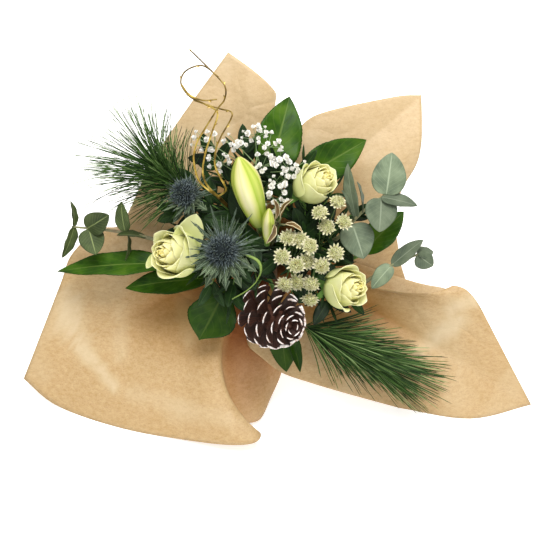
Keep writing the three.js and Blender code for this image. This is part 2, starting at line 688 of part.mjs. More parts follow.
function gypsophila() {
  const { florets, hubs, spread, seed } = GYPSOPHILA;
  const draw = draws(seed);
  const root = point(GYPSOPHILA.fork);
  const top = root.clone().add(V(6, 28, 22));
  const pieces = [stem(root, V(0, 0.5, 0.86), 1.6), thread(root, top, 1.2, 0, 4)];
  const floret = (from, at, turn) => {
    const f = frame(from, towards(from, at), V(1, 0, 0));
    const far = from.distanceTo(at);
    const size = draw(3.2, 4.2);
    const stalk = (on) => ringIn(f, 0.75, 3, turn, on).flatMap((p) => [p, p.clone()]);
    return loft([
      stalk(-0.4),
      stalk(far - 0.5 * size),
      ringIn(f, (j) => size * (j % 2 ? 1.1 : 0.75), 6, turn, far + 0.1 * size),
      ringIn(f, 0, 6, turn, far + 0.5 * size),
    ]);
  };
  hubs.map(point).forEach((hub, i) => {
    const fork = root.clone().lerp(top, (i + 0.5) / hubs.length);
    const back = towards(hub, fork);
    pieces.push(floret(fork, hub.clone().addScaledVector(back, -4), 0));
    for (let k = 1; k < florets; k++) {
      const turn = k * GOLDEN_ANGLE + draw(0, 0.6);
      const out = V(Math.cos(turn), Math.sin(turn), 0).multiplyScalar(spread * draw(0.7, 1.1));
      const at = hub.clone().add(out).add(V(0, 0, draw(2, 9)));
      pieces.push(floret(hub.clone().addScaledVector(back, 3 * k), at, turn));
    }
  });
  return join(pieces);
}

function masterwort({ fork, heads }) {
  const root = point(fork);
  const { radius, rays, cup, tuft, tall } = STAR;
  const way = V(0.1, 0, 1).normalize();
  const pieces = [stem(root, way, 1.6)];
  heads.map(point).forEach((at, k) => {
    pieces.push(thread(root.clone().addScaledVector(way, -1.4 * k), at, 0.8, 0));
    const out = at.clone().sub(root);
    const f = frame(at, V(out.x * 0.5, out.y * 0.5, 30).normalize(), V(1, 0, 0));
    const ring = (reach, up) => ringIn(f, reach, 2 * rays, k, up);
    pieces.push(
      loft([
        ring(0, -2),
        ring((j) => radius * (j % 2 ? 1 : 0.5), cup),
        ring(tuft * 0.6, 0.8),
        ring((j) => tuft * (j % 2 ? 1 : 0.65), tall),
        ring(0, tall * 0.7),
      ]),
    );
  });
  return join(pieces);
}

// ---- lemon leaf ----
// Broad glossy leaves low in the bouquet, where they back the flowers against the paper.
const LEMON_LEAVES = {
  lemon_leaf_top: [[[1, 73, 82], [22, 153, 75], 24, [0.1, -0.1, 1]]],
  lemon_leaf_upper_right: [[[33, 71, 80], [99, 109, 80], 20, [0, -0.2, 1]]],
  lemon_leaf_right: [[[98, -2, 84], [137, 37, 76], 16, [-0.2, 0.2, 1]]],
  lemon_leaf_left: [
    [[-98, -16, 70], [-214, -23, 60], 16, [0, 0.62, 0.78]],
    [[-60, -30, 78], [-144, -40, 66], 15, [0, 0.4, 0.9]],
  ],
  lemon_leaf_bottom_left: [[[-17, -42, 88], [-65, -89, 76], 24, [0.2, -0.2, 1]]],
  lemon_leaf_bottom: [
    [[12, -66, 74], [19, -125, 62], 15, [0, -0.3, 1]],
    [[22, -84, 70], [33, -125, 66], 7, [0.5, 0, 0.85]],
  ],
};

function lemonLeaf(leaves) {
  const shape = { early: 0.75, late: 0.95, bow: 0.08, fold: 0.16, wave: 0.07, cols: 4, rows: 5, stalk: 1.2 };
  const [foot, tip] = leaves[0].map((entry) => (Array.isArray(entry) ? point(entry) : entry));
  const way = towards(foot, tip).add(V(0, 0, 0.25)).normalize();
  const links = leaves.slice(1).map(([next]) => thread(foot, point(next), 1.2, 0, 4));
  return join([
    stem(foot, way, 1.8),
    ...links,
    ...leaves.map(([from, to, half, face]) =>
      leaf(sunk(from, to, 5), point(to), point(face).normalize(), { ...shape, half }),
    ),
  ]);
}

// ---- gilded twigs and golden leaves ----
const GILDED_FORK = [-48, 50, 116];
const GILDED_TWIGS = [
  [
    [-48, 50, 116],
    [-55, 54, 132],
    [-66, 65, 140],
    [-70, 83, 150],
    [-68, 95, 156],
    [-63, 105, 160],
    [-47, 129, 168],
    [-40, 138, 170],
    [-39, 149, 171],
    [-46, 159, 170],
    [-73, 186, 166],
  ],
  [
    [-48, 50, 116],
    [-58, 60, 128],
    [-62, 72, 138],
    [-59, 90, 147],
    [-52, 110, 155],
    [-47, 127, 159],
    [-59, 135, 162],
    [-73, 142, 164],
    [-81, 154, 168],
    [-76, 165, 172],
    [-60, 169, 177],
    [-45, 158, 180],
  ],
  [
    [-48, 50, 116],
    [-40, 56, 130],
    [-45, 67, 138],
    [-50, 79, 143],
    [-49, 93, 148],
    [-44, 105, 152],
    [-33, 126, 157],
    [-46, 132, 152],
    [-70, 140, 150],
  ],
];
const GOLDEN_LEAVES = {
  fork: [10, 24, 112],
  leaves: [
    [[1, 24, 134], [0, 46, 144], 5.5, [0.7, 0, 0.7]],
    [[13, 28, 132], [27, 47, 140], 6, [-0.6, 0.3, 0.7]],
    [[6, 22, 130], [-1, 4, 140], 6, [0.6, 0.2, 0.8]],
    [[17, 22, 128], [38, 14, 132], 7, [0, 0.4, 0.9]],
  ],
};

function gildedTwigs() {
  return join([
    stem(point(GILDED_FORK), V(-0.2, 0.2, 0.96).normalize(), 2),
    ...GILDED_TWIGS.map((way) => rod(through(way), (s) => 1.05 - 0.3 * s, 14, 3, V(0.9, -0.2, 0.4))),
  ]);
}

function goldenLeaves() {
  const root = point(GOLDEN_LEAVES.fork);
  const shape = { early: 0.7, late: 0.8, bow: 0.1, fold: 0.45 };
  return join([
    stem(root, V(0, 0, 1), 1.4),
    ...GOLDEN_LEAVES.leaves.flatMap(([foot, tip, half, face]) => [
      thread(root, point(foot), 0.9, 0, 4),
      sliver(point(foot), point(tip), point(face).normalize(), { ...shape, half }),
    ]),
  ]);
}

// ---- the dark leaves in the gaps ----
const GAP_LEAVES = {
  gap_leaves_left: {
    fork: [-22, 24, 84],
    leaves: [
      [[-34, 62, 108], 11, [0, -0.2, 1]],
      [[-16, 82, 102], 11, [0, 0, 1]],
      [[-64, 30, 98], 11, [0.1, 0, 1]],
      [[-8, -22, 106], 9, [0, 0.1, 1]],
    ],
  },
  gap_leaves_right: {
    fork: [36, 12, 84],
    leaves: [
      [[26, 40, 104], 8, [0.3, 0, 1]],
      [[60, 30, 96], 8, [0, -0.1, 1]],
    ],
  },
};

function gapLeaves({ fork, leaves }) {
  const root = point(fork);
  const shape = { early: 0.7, late: 0.8, bow: 0.12, fold: 0.2, stalk: 0.9 };
  return join([
    stem(root, V(0, 0, 1), 1.7),
    ...leaves.map(([tip, half, face]) =>
      sliver(root.clone().add(V(0, 0, -2)), point(tip), point(face).normalize(), { ...shape, half }),
    ),
  ]);
}

// ---- the tie ----
const TIE = { turns: 3, cord: 2.6, sides: 16 };

// Turns of jute cord side by side round the gathered paper.
function neckTie() {
  const inner = (NECK_RADIUS + PAPER_THICKNESS / 2 + CLEARANCE * 1.4) / Math.cos(Math.PI / TIE.sides);
  const height = TIE.turns * TIE.cord;
  const outline2d = [new THREE.Vector2(inner, -height / 2)];
  for (let k = 0; k < TIE.turns; k++) {
    const base = -height / 2 + k * TIE.cord;
    outline2d.push(new THREE.Vector2(inner + TIE.cord * 0.55, base + 0.1));
    outline2d.push(new THREE.Vector2(inner + TIE.cord, base + TIE.cord / 2));
  }
  outline2d.push(new THREE.Vector2(inner + TIE.cord * 0.55, height / 2 - 0.1));
  outline2d.push(new THREE.Vector2(inner, height / 2));
  const rings = Array.from({ length: TIE.sides }, (_, i) => {
    const turn = (2 * Math.PI * i) / TIE.sides;
    return outline2d.map(({ x, y }) => V(x * Math.cos(turn), x * Math.sin(turn), y - NECK_LENGTH / 2));
  });
  return loopOf(rings);
}

// ---- the assembly ----
const MATERIALS = {
  kraft: { color: 0xd0a877, roughness: 0.75, metalness: 0 },
  jute: { color: 0xb08a52, roughness: 0.9, metalness: 0 },
  rose: { color: 0xe8e8b4, roughness: 0.55, metalness: 0 },
  stem: { color: 0x4f7a35, roughness: 0.6, metalness: 0 },
  lily: { color: 0xc9dc7c, roughness: 0.45, metalness: 0 },
  holly: { color: 0x5d6f84, roughness: 0.7, metalness: 0 },
  bract: { color: 0x4c6a63, roughness: 0.6, metalness: 0 },
  cone: { color: 0x4a3024, roughness: 0.8, metalness: 0 },
  pine: { color: 0x2f6034, roughness: 0.55, metalness: 0 },
  eucalyptus: { color: 0x6f8f80, roughness: 0.7, metalness: 0 },
  gypsophila: { color: 0xe9ece0, roughness: 0.7, metalness: 0 },
  masterwort: { color: 0xcfd8a8, roughness: 0.7, metalness: 0 },
  lemonLeaf: { color: 0x2f6b2a, roughness: 0.35, metalness: 0 },
  gapLeaf: { color: 0x254a25, roughness: 0.4, metalness: 0 },
  gilt: { color: 0xb9984e, roughness: 0.4, metalness: 0.8 },
  goldenLeaf: { color: 0xa88a4a, roughness: 0.5, metalness: 0 },
};
const SLIGHTEST = 0.08; // steps smaller than this are smoothed away
const LOSS_ALLOWED = 0.3; // the most of itself that a piece may give up to its neighbours

const bouquet = new THREE.Group();
bouquet.rotation.x = rad(LEAN_DEG);
const placed = [];

function geometryOf(solid) {
  const { vertProperties, triVerts, numProp } = solid.getMesh();
  const points = new Float32Array((vertProperties.length / numProp) * 3);
  for (let i = 0; i < points.length / 3; i++)
    points.set(vertProperties.subarray(i * numProp, i * numProp + 3), i * 3);
  const geometry = new THREE.BufferGeometry();
  geometry.setAttribute("position", new THREE.BufferAttribute(points, 3));
  geometry.setIndex(new THREE.BufferAttribute(triVerts, 1));
  return geometry;
}

// A solid grown on all sides, by moving each corner out along the mean of its faces.
function grown(solid, margin) {
  const geometry = geometryOf(solid);
  geometry.computeVertexNormals();
  const normals = geometry.getAttribute("normal").array;
  const moved = geometry.getAttribute("position").array.map((value, i) => value + normals[i] * margin);
  return manifold(moved, geometry.index.array);
}

const near = (a, b) => {
  const [p, q] = [a.boundingBox(), b.boundingBox()];
  return [0, 1, 2].every((i) => p.min[i] < q.max[i] && q.min[i] < p.max[i]);
};

// A block round a small solid, with the clearance on all its sides.
function blockRound(solid) {
  const { min, max } = solid.boundingBox();
  const [low, high] = [point(min).subScalar(CLEARANCE), point(max).addScalar(CLEARANCE)];
  const level = (z) => [V(low.x, low.y, z), V(high.x, low.y, z), V(high.x, high.y, z), V(low.x, high.y, z)];
  return loft([level(low.z), level(high.z)]);
}

const largest = (solid) =>
  solid.decompose().reduce((best, part) => (part.volume() > best.volume() ? part : best));

// A piece gives way to those placed before it, and keeps its largest part.
function clearOf(name, solid) {
  const others = placed.filter(({ around }) => near(solid, around));
  if (others.length === 0) return solid;
  let kept = largest(solid.subtract(join(others.map(({ around }) => around))));
  for (const other of others) {
    // what still meets at a sharp edge is cut away as a small block
    const shared = kept.intersect(other.solid);
    if (!shared.isEmpty()) kept = largest(kept.subtract(join(shared.decompose().map(blockRound))));
  }
  const loss = 1 - kept.volume() / solid.volume();
  if (loss > LOSS_ALLOWED) throw new Error(`${name} is cut through by a neighbour`);
  return kept;
}

function place(name, whole, finish) {
  const solid = largest(clearOf(name, whole).simplify(SLIGHTEST));
  placed.push({ solid, around: grown(solid, CLEARANCE * 1.3) });
  const mesh = new THREE.Mesh(geometryOf(solid), new THREE.MeshStandardMaterial(MATERIALS[finish]));
  mesh.name = name;
  bouquet.add(mesh);
}

const made = (table, make) => Object.entries(table).map(([name, shape]) => [name, make(shape)]);
const placeAll = (pieces, finish) => pieces.forEach(([name, solid]) => place(name, solid, finish));

const TIE_PLACES = sharePlaces([
  ...Object.values(ROSES).map((rose) => roseFrame(rose).p),
  coneFrame().p,
  point(LILY_FORK),
  point(GILDED_FORK),
  ...Object.values(SEA_HOLLIES).map(({ at }) => point(at)),
  ...[GYPSOPHILA, GOLDEN_LEAVES].map(({ fork }) => point(fork)),
  ...[MASTERWORT, GAP_LEAVES].flatMap((table) => Object.values(table).map(({ fork }) => point(fork))),
  ...[PINES, EUCALYPTUS].flatMap((table) => Object.values(table).map(({ twig }) => point(twig[0]))),
  ...Object.values(LEMON_LEAVES).map((leaves) => point(leaves[0][0])),
]);

place("paper_wrap", paperWrap(), "kraft");
place("neck_tie", neckTie(), "jute");
placeAll(made(ROSES, roseStem).map(([name, solid]) => [`${name}_stem`, solid]), "stem");
placeAll(made(ROSES, roseBloom).map(([name, solid]) => [`${name}_bloom`, solid]), "rose");
place("pine_cone_pick", pineConePick(), "cone");
place("pine_cone", pineCone(), "cone");
place("lily_stem", lilyStem(), "stem");
placeAll(made(LILY_BUDS, lilyBud), "lily");
placeAll(made(SEA_HOLLIES, seaHollyHead).map(([name, solid]) => [`${name}_head`, solid]), "holly");
placeAll(made(SEA_HOLLIES, seaHollyStem).map(([name, solid]) => [`${name}_stem`, solid]), "bract");
placeAll(made(MASTERWORT, masterwort), "masterwort");
placeAll(made(EUCALYPTUS, eucalyptus), "eucalyptus");
place("gypsophila", gypsophila(), "gypsophila");
place("golden_leaves", goldenLeaves(), "goldenLeaf");
place("gilded_twigs", gildedTwigs(), "gilt");
placeAll(made(LEMON_LEAVES, lemonLeaf), "lemonLeaf");
placeAll(made(PINES, pineSpray), "pine");
placeAll(made(GAP_LEAVES, gapLeaves), "gapLeaf");

// Set down with its lowest points on the surface and its middle over the origin.
const reach = new THREE.Box3().setFromObject(bouquet, true);
const middle = reach.getCenter(V(0, 0, 0));
bouquet.position.set(-middle.x, -middle.y, -reach.min.z);

export default bouquet;
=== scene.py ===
from math import atan2, cos, exp, pi, radians, sin, sqrt

import bpy
from mathutils import Matrix, Vector, noise


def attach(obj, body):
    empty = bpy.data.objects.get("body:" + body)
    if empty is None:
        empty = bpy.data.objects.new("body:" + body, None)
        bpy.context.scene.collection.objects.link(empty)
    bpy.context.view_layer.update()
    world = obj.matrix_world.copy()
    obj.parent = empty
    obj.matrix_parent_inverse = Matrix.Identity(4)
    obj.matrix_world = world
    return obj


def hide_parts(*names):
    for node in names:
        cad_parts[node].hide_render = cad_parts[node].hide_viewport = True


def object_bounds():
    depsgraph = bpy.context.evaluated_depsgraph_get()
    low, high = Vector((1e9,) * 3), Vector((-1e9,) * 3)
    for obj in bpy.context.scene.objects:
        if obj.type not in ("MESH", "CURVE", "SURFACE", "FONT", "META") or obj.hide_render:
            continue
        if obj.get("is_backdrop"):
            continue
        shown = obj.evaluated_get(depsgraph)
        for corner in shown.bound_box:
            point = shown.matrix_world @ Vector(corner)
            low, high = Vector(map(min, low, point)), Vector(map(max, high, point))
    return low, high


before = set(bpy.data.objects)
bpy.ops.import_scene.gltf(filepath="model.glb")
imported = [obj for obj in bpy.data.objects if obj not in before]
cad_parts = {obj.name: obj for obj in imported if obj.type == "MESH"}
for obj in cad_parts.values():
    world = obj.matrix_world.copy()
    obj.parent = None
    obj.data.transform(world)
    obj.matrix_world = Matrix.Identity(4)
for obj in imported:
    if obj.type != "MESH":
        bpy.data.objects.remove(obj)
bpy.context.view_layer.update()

# ---- the surface, the light and the camera ----
# The bouquet lies on its side on a pale surface and is seen straight down its own axis. Its pieces are drawn
# in millimetres along its own axes, from the tie: x to the right, y up the picture, h towards the flowers.
TIE_PLACE = (-9.49, 33.55, 106.08)
LEAN = radians(45)
LAID = Matrix.Translation(Vector(TIE_PLACE) / 1000) @ Matrix.Rotation(LEAN, 4, "X") @ Matrix.Scale(0.001, 4)


def linear(code):
    """An sRGB hex colour as linear light."""
    parts = [int(code[i : i + 2], 16) / 255 for i in (1, 3, 5)]
    return [c / 12.92 if c <= 0.04045 else ((c + 0.055) / 1.055) ** 2.4 for c in parts] + [1]


def material(name, color, roughness, **sockets):
    """A material of its own, with its shader's constant sockets."""
    made = bpy.data.materials.new(name)
    made.use_nodes = True
    shader = made.node_tree.nodes["Principled BSDF"]
    shader.inputs["Base Color"].default_value = linear(color)
    shader.inputs["Roughness"].default_value = roughness
    for socket, value in sockets.items():
        shader.inputs[socket.replace("_", " ")].default_value = value
    return made


def add(made, kind, inputs=(), stops=(), **settings):
    """Adds a node to a material, or takes its shader. Its inputs and settings are constants, sockets or nodes,
    and a node stands for its first output."""
    nodes = made.node_tree.nodes
    new = nodes["Principled BSDF"] if kind == "shader" else nodes.new("ShaderNode" + kind)
    for key, value in [*enumerate(inputs), *settings.items()]:
        socket = key if isinstance(key, int) else key.replace("_", " ")
        if isinstance(value, bpy.types.Node):
            value = value.outputs[0]
        if isinstance(value, bpy.types.NodeSocket):
            made.node_tree.links.new(new.inputs[socket], value)
        elif isinstance(key, str) and hasattr(new, key):
            setattr(new, key, value)
        else:
            new.inputs[socket].default_value = value
    while stops and len(new.color_ramp.elements) < len(stops):
        new.color_ramp.elements.new(0.5)
    for element, (place, code) in zip(new.color_ramp.elements if stops else (), stops):
        element.position = place
        element.color = linear(code)
    return new


# Matt white board: it fades into the white round the bouquet.
WHITE = (1, 1, 1, 1)
white_board = material("matt_white_board", "#f7f6f2", 0.9, Emission_Strength=0.5, Emission_Color=WHITE)
bpy.ops.mesh.primitive_plane_add(size=6, location=(0, 0.4, -0.0004))
surface = bpy.context.object
surface.name = "surface"
surface.data.materials.append(white_board)
surface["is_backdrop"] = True

world = bpy.data.worlds.new("studio")
bpy.context.scene.world = world
world.use_nodes = True
background = world.node_tree.nodes["Background"].inputs
background["Color"].default_value = WHITE
background["Strength"].default_value = 0.58
bpy.context.scene.view_settings.view_transform = "Standard"
FACED = Vector((0, 0, 0.15))  # the middle of the bouquet, in metres


def soft_box(name, place, size, watts):
    """A square soft box that faces the bouquet. Its place is in metres, in the room."""
    lamp = bpy.data.lights.new(name, "AREA")
    lamp.size = size
    lamp.energy = watts
    holder = bpy.data.objects.new(name, lamp)
    holder.location = place
    holder.rotation_euler = (FACED - Vector(place)).to_track_quat("-Z", "Y").to_euler()
    bpy.context.collection.objects.link(holder)


soft_box("soft_box_above", (0.05, -0.25, 1.9), 0.9, 33)
soft_box("soft_box_behind", (0.5, 1.3, 1.4), 0.8, 11.5)
soft_box("soft_box_front", (0.7, -1.5, 1.0), 1.2, 8)

ABOVE_TIE = Vector((9, -28.1, 1500))  # where the camera hangs, along the bouquet's own axes
lens = bpy.data.cameras.new("camera")
lens.sensor_width = 36
lens.lens = 92.1
camera = bpy.data.objects.new("camera", lens)
camera.location = LAID @ ABOVE_TIE
camera.rotation_euler = (LEAN, 0, 0)
bpy.context.collection.objects.link(camera)
bpy.context.scene.camera = camera

# ---- the kraft paper ----
# One square sheet of brown machine-glazed kraft paper, about 42 cm a side, pushed up round the stems so that
# its corners stand out, and gathered in pleats under the tie. Each row is one line of the sheet: where it
# meets the outer edge, and how far it bows aside on the way, if it does. The list goes round anticlockwise.
PAPER_EDGE = [
    (277, -163, 12), (232, -83, 36), (216, -55, 44, 0, -20, 0), (203, -41, 46, 0, -36, 4),
    (190, -38, 41, 0, -44, 4), (202, -48, 29, 0, -36, 0), (209, -57, 18, 0, -26, -4),
    (190, -42, 10, 0, -20, -6), (164, -37, 5), (139, -36, 0), (126, -41, -6), (136, -46, -14), (147, -36, -12),
    (141, -13, -5), (133, 32, 6), (140, 62, 18), (154, 87, 28), (159, 108, 34), (160, 134, 32), (160, 161, 26),
    (134, 159, 30), (65, 144, 34), (38, 132, 28), (21, 108, 18), (8, 122, 4), (1, 146, 10), (9, 160, 26),
    (0, 172, 36), (-18, 187, 40), (-41, 204, 36), (-91, 136, 32), (-123, 88, 22), (-147, 40, 8), (-158, 25, 8),
    (-178, 21, 16), (-204, -5, 28), (-216, -35, 25), (-258, -136, 6), (-228, -160, 14, -10, 0, 0),
    (-190, -175, 25, -20, 0, 4), (-142, -187, 37.6, -32, 0, 6), (-90, -195, 48, -46, 0, 8),
    (-42, -199, 64, -64, 0, 8), (-14, -197, 66, -82, 0, 8), (-7, -188, 60, -84, 0, 4),
    (-20, -182, 50, -66, 0, -2), (-24, -180, 41, -44, 0, -8), (-8, -176, 34, -26, 0, -12), (3, -155, 17),
    (14, -130, 4), (14, -114, 2), (-2, -100, 8), (-20, -92, 24), (-20, -100, 36), (-8, -111, 34),
    (14, -128, 28), (44, -139, 22), (80, -150, 18), (138, -166, 17), (211, -176, 26.6),
]
PAPER_CORNERS = (0, 14, 19, 29, 37, 58)  # where the edge turns sharply, with no curve through it
FRONT_FOLD = 48  # the middle of the edge that turns under at the front
NECK_RADIUS = 19.8
NECK_LENGTH = 11
RUFF = {"length": 15, "flare": 8, "pleat": 2.2, "pleats": 17}
COLUMNS = 420
LINE_STEPS = 42
RUFF_STEPS = 6
NEIGHBOURS = 12  # columns on either side that a fold's depth is measured from
PAPER_THICKNESS = 0.35


def clamped(value):
    return max(0, min(1, value))


def bezier(points, s):
    """The point at share s of the curve that the points pull."""
    while len(points) > 1:
        points = [a.lerp(b, s) for a, b in zip(points, points[1:])]
    return points[0]


def edge_at(table, corners, place):
    """A smooth value between the rows of a closed table, straight up to a corner from both sides."""
    n = len(table)
    i = int(place) % n
    s = place - int(place)
    a, b = table[i], table[(i + 1) % n]
    chord = b - a
    before = chord if i in corners else (b - table[i - 1]) / 2
    after = chord if (i + 1) % n in corners else (table[(i + 2) % n] - a) / 2
    limit = 1.6 * chord.length
    before, after = [v if v.length <= limit else v * (limit / v.length) for v in (before, after)]
    left, right = 2 * s**3 - 3 * s * s + 1, 3 * s * s - 2 * s**3
    return a * left + before * (s**3 - 2 * s * s + s) + b * right + after * (s**3 - s * s)


class Growth:
    """The points and faces of one piece. A mark says how far across and along its blade a point lies, and
    the shade drawn for that blade, for the material to read."""

    def __init__(self):
        self.points, self.marks, self.faces, self.kinds = [], [], [], []

    def grid(self, rows, wrapped=False, kind=0, capped=False):
        """Joins rows of points, each with its mark, to a skin."""
        first, cols = len(self.points), len(rows[0])
        for row in rows:
            self.points += [point for point, mark in row]
            self.marks += [mark for point, mark in row]
        for i in range(len(rows) - 1):
            for j in range(cols if wrapped else cols - 1):
                a, b = first + i * cols + j, first + i * cols + (j + 1) % cols
                self.faces.append((a, b, b + cols, a + cols))
                self.kinds.append(kind)
        if capped:
            last = first + (len(rows) - 1) * cols
            self.faces += [tuple(range(first + cols - 1, first - 1, -1)), tuple(range(last, last + cols))]
            self.kinds += [kind, kind]

    def piece(self, name, materials, node, thick=0, levels=0, crease=None):
        mesh = bpy.data.meshes.new(name)
        mesh.from_pydata([LAID @ p for p in self.points], [], self.faces)
        marks = mesh.attributes.new("grown", "FLOAT_VECTOR", "POINT")
        marks.data.foreach_set("vector", [value for mark in self.marks for value in mark])
        for one in materials:
            mesh.materials.append(one)
        mesh.polygons.foreach_set("material_index", self.kinds)
        mesh.shade_smooth()
        if crease:
            mesh.set_sharp_from_angle(angle=radians(crease))
        made = bpy.data.objects.new(name, mesh)
        bpy.context.collection.objects.link(made)
        if levels:
            rounded = made.modifiers.new("rounded", "SUBSURF")
            rounded.levels = rounded.render_levels = levels
        if thick:
            skin = made.modifiers.new("thickness", "SOLIDIFY")
            skin.thickness = thick / 1000
            skin.offset = 0
        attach(made, "root")
        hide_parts(node)
        return made


def paper_line(edge, bow, turn, wave):
    """One line of the sheet, from the lip of the ruff, up through the tie, to the outer edge."""
    around = Vector((cos(turn), sin(turn), 0))
    neck = around * NECK_RADIUS
    collar = around * NECK_RADIUS * 1.55 + Vector((0, 0, 30))
    belly = neck.lerp(edge, 0.62) + bow
    belly.z = (edge.z + 42) / 2 + bow.z
    line = []
    for k in range(RUFF_STEPS + 1):
        down = 1 - k / RUFF_STEPS
        out = NECK_RADIUS + (RUFF["flare"] + wave * RUFF["pleat"]) * down**1.3
        line.append(around * out + Vector((0, 0, -NECK_LENGTH - RUFF["length"] * down)))
    for k in (0.6, 1.4):
        out = NECK_RADIUS + 0.5 * wave * abs(1 - k)
        line.append(around * out + Vector((0, 0, -NECK_LENGTH * (1 - k / 2))))
    return line + [bezier([neck, collar, belly, edge], (k / LINE_STEPS) ** 0.9) for k in range(LINE_STEPS + 1)]


# painted sheen: long soft pale streaks that stand in for highlights on the glazed side: from, to, half width and
# strength
PAINTED_SHEEN_STREAKS = [
    ((-209, -50), (-206, -83), 12, 0.9), ((-206, -83), (-186, -113), 9, 1), ((-186, -113), (-160, -143), 6, 1),
    ((-153, -66), (-153, -110), 7, 0.5), ((-88, -52), (-81, -90), 8, 0.7), ((-140, -149), (-45, -172), 9, 0.4),
    ((156, -106), (198, -75), 8, 0.9), ((189, -62), (212, -50), 7, 0.8),
]


def painted_sheen_at(p):
    """Painted sheen at a point, from 0 to 1: pale streaks that stand in for highlights on the glazed side, and the
    two upper lobes drawn paler because they face the light.
    """
    most = 0.42 * clamped((p.y - 20) / 60)
    for start, end, half, strength in PAINTED_SHEEN_STREAKS:
        a, b = Vector(start), Vector(end)
        s = clamped((p.xy - a).dot(b - a) / (b - a).length_squared)
        far = (p.xy - a.lerp(b, s)).length / half + 0.6 * noise.noise(p / 9)
        most = max(most, strength * clamped(1.5 - far))
    return most


def ridge(p, size, shift):
    """Sharp creases a given size apart."""
    return 0.5 - abs(noise.noise(p / size + Vector(shift)))


edges = [Vector(row[:3]) for row in PAPER_EDGE]
bows = [Vector(row[3:] or (0, 0, 0)) for row in PAPER_EDGE]
places = [c * len(edges) / COLUMNS for c in range(COLUMNS)]
turns = [atan2(edges[0].y, edges[0].x) + 2 * pi * c / COLUMNS for c in range(COLUMNS)]
pleats = [cos(RUFF["pleats"] * turn) for turn in turns]
lines = [
    paper_line(edge_at(edges, PAPER_CORNERS, place), edge_at(bows, (), place), turn, pleat)
    for place, turn, pleat in zip(places, turns, pleats)
]
rows = [list(row) for row in zip(*lines)]
for i, row in enumerate(rows):
    out = i / (len(rows) - 1)
    loose = max(0, out - 0.2) ** 0.8
    level = [p.z for p in row]
    for c, p in enumerate(row):
        # how far the place lies sunk between its neighbours, in shares of 8 mm, but not out on the open lobes: the
        # mask for the painted shade in the hollows
        near = [level[(c + k) % COLUMNS] for k in range(-NEIGHBOURS, NEIGHBOURS + 1)]
        sunk = (sum(near) / len(near) - level[c]) / 8
        # the first mark says where the fold turns under at the front, for its painted orange shade, less the
        # painted sheen elsewhere; the third is the painted shade in the hollows
        under = clamped(2.2 - abs(places[c] - FRONT_FOLD) / 1.9)
        mark = (under - painted_sheen_at(p) * (1 - under), out, clamped(sunk) * clamped(4 * (0.66 - out)))
        crumple = noise.noise(p / 24) * 0.9 + noise.noise(p / 8) * 0.22
        crease = 1.5 * ridge(p, 46, (3, 7, 1)) + 0.6 * ridge(p, 21, (9, 2, 5))
        gather = pleats[c] * 1.1 * max(0, 0.5 - abs(out - 0.3)) * (out > 0.16)
        p.z += ((crumple + crease) * loose + gather) * min(1, 5 * (1 - out) + 0.3)
        row[c] = p, mark
paper = Growth()
paper.grid(rows, wrapped=True)


def grown(made):
    """The marks of a piece's points for its material: all three, and then across, along and shade."""
    marks = add(made, "Attribute", attribute_name="grown").outputs["Vector"]
    return marks, *add(made, "SeparateXYZ", [marks]).outputs


# Brown machine-glazed kraft: long wood fibres lie mostly one way, so the sheet is finely mottled. Painted sheen:
# pale patches and streaks stand in for highlights on its glazed side. Painted shade: it is drawn darker and
# orange towards the neck, in its hollows and in the fold that turns under, for light bouncing deep in its folds.
kraft = material("kraft_paper_machine_glazed", "#bea578", 0.55, Specular_IOR_Level=0.35)
coords = add(kraft, "TexCoord").outputs["Object"]
marks, under, along, sunk = grown(kraft)
fibre_place = add(kraft, "Mapping", Vector=coords, Scale=(1, 1, 2.2))
# clouds of 5 mm, fibres of 1.5 mm drawn a little coarse so that they show, patches of some 8 cm for the painted
# sheen and the gloss
clouds = add(kraft, "TexNoise", Vector=fibre_place, Scale=190, Detail=4, Roughness=0.6)
fibres = add(kraft, "TexNoise", Vector=fibre_place, Scale=560, Detail=3, Roughness=0.7)
sheen_bands = add(kraft, "TexNoise", Vector=coords, Scale=9, Detail=1.5, Distortion=1.2)
base = add(kraft, "ValToRGB", Fac=clouds, stops=[(0.3, "#b19363"), (0.5, "#b99c71"), (0.7, "#c0a57a")])
flecks = add(kraft, "ValToRGB", Fac=fibres, stops=[(0.36, "#bfa274"), (0.5, "#fff6e8"), (0.7, "#ffffff")])
mottled = add(kraft, "MixRGB", Color1=base, Color2=flecks, blend_type="MULTIPLY", Fac=0.3)
# painted sheen: pale patches from the noise and pale streaks from the marks, mixed into the colour
sheen_patch_paint = add(kraft, "MapRange", Value=sheen_bands, From_Min=0.52, From_Max=0.66, To_Min=0, To_Max=0.2)
sheen_streak_paint = add(kraft, "MapRange", Value=under, From_Min=0, From_Max=-1, To_Min=0, To_Max=0.6)
painted_sheen_share = add(kraft, "Math", [sheen_patch_paint, sheen_streak_paint], operation="ADD", use_clamp=True)
glazed_sheen_painted = add(kraft, "MixRGB", Fac=painted_sheen_share, Color1=mottled, Color2=linear("#cfbd9b"))
# painted shade: darker and orange towards the neck, deep among the stems, white out on the lobes
painted_neck_shade = add(kraft, "ValToRGB", Fac=along, stops=[
    (0.0, "#a87340"), (0.2, "#a36d3b"), (0.36, "#d3964f"), (0.55, "#f5dba8"), (0.74, "#ffffff"),
])
# painted shade: darker and orange where the sheet lies sunk between its neighbours
painted_hollow_shade = add(kraft, "ValToRGB", Fac=sunk, stops=[(0.0, "#ffffff"), (0.4, "#efc98e"), (0.9, "#d3953f")])
with_hollow_shade = add(kraft, "MixRGB", Color1=painted_neck_shade, Color2=painted_hollow_shade, blend_type="MULTIPLY", Fac=1)
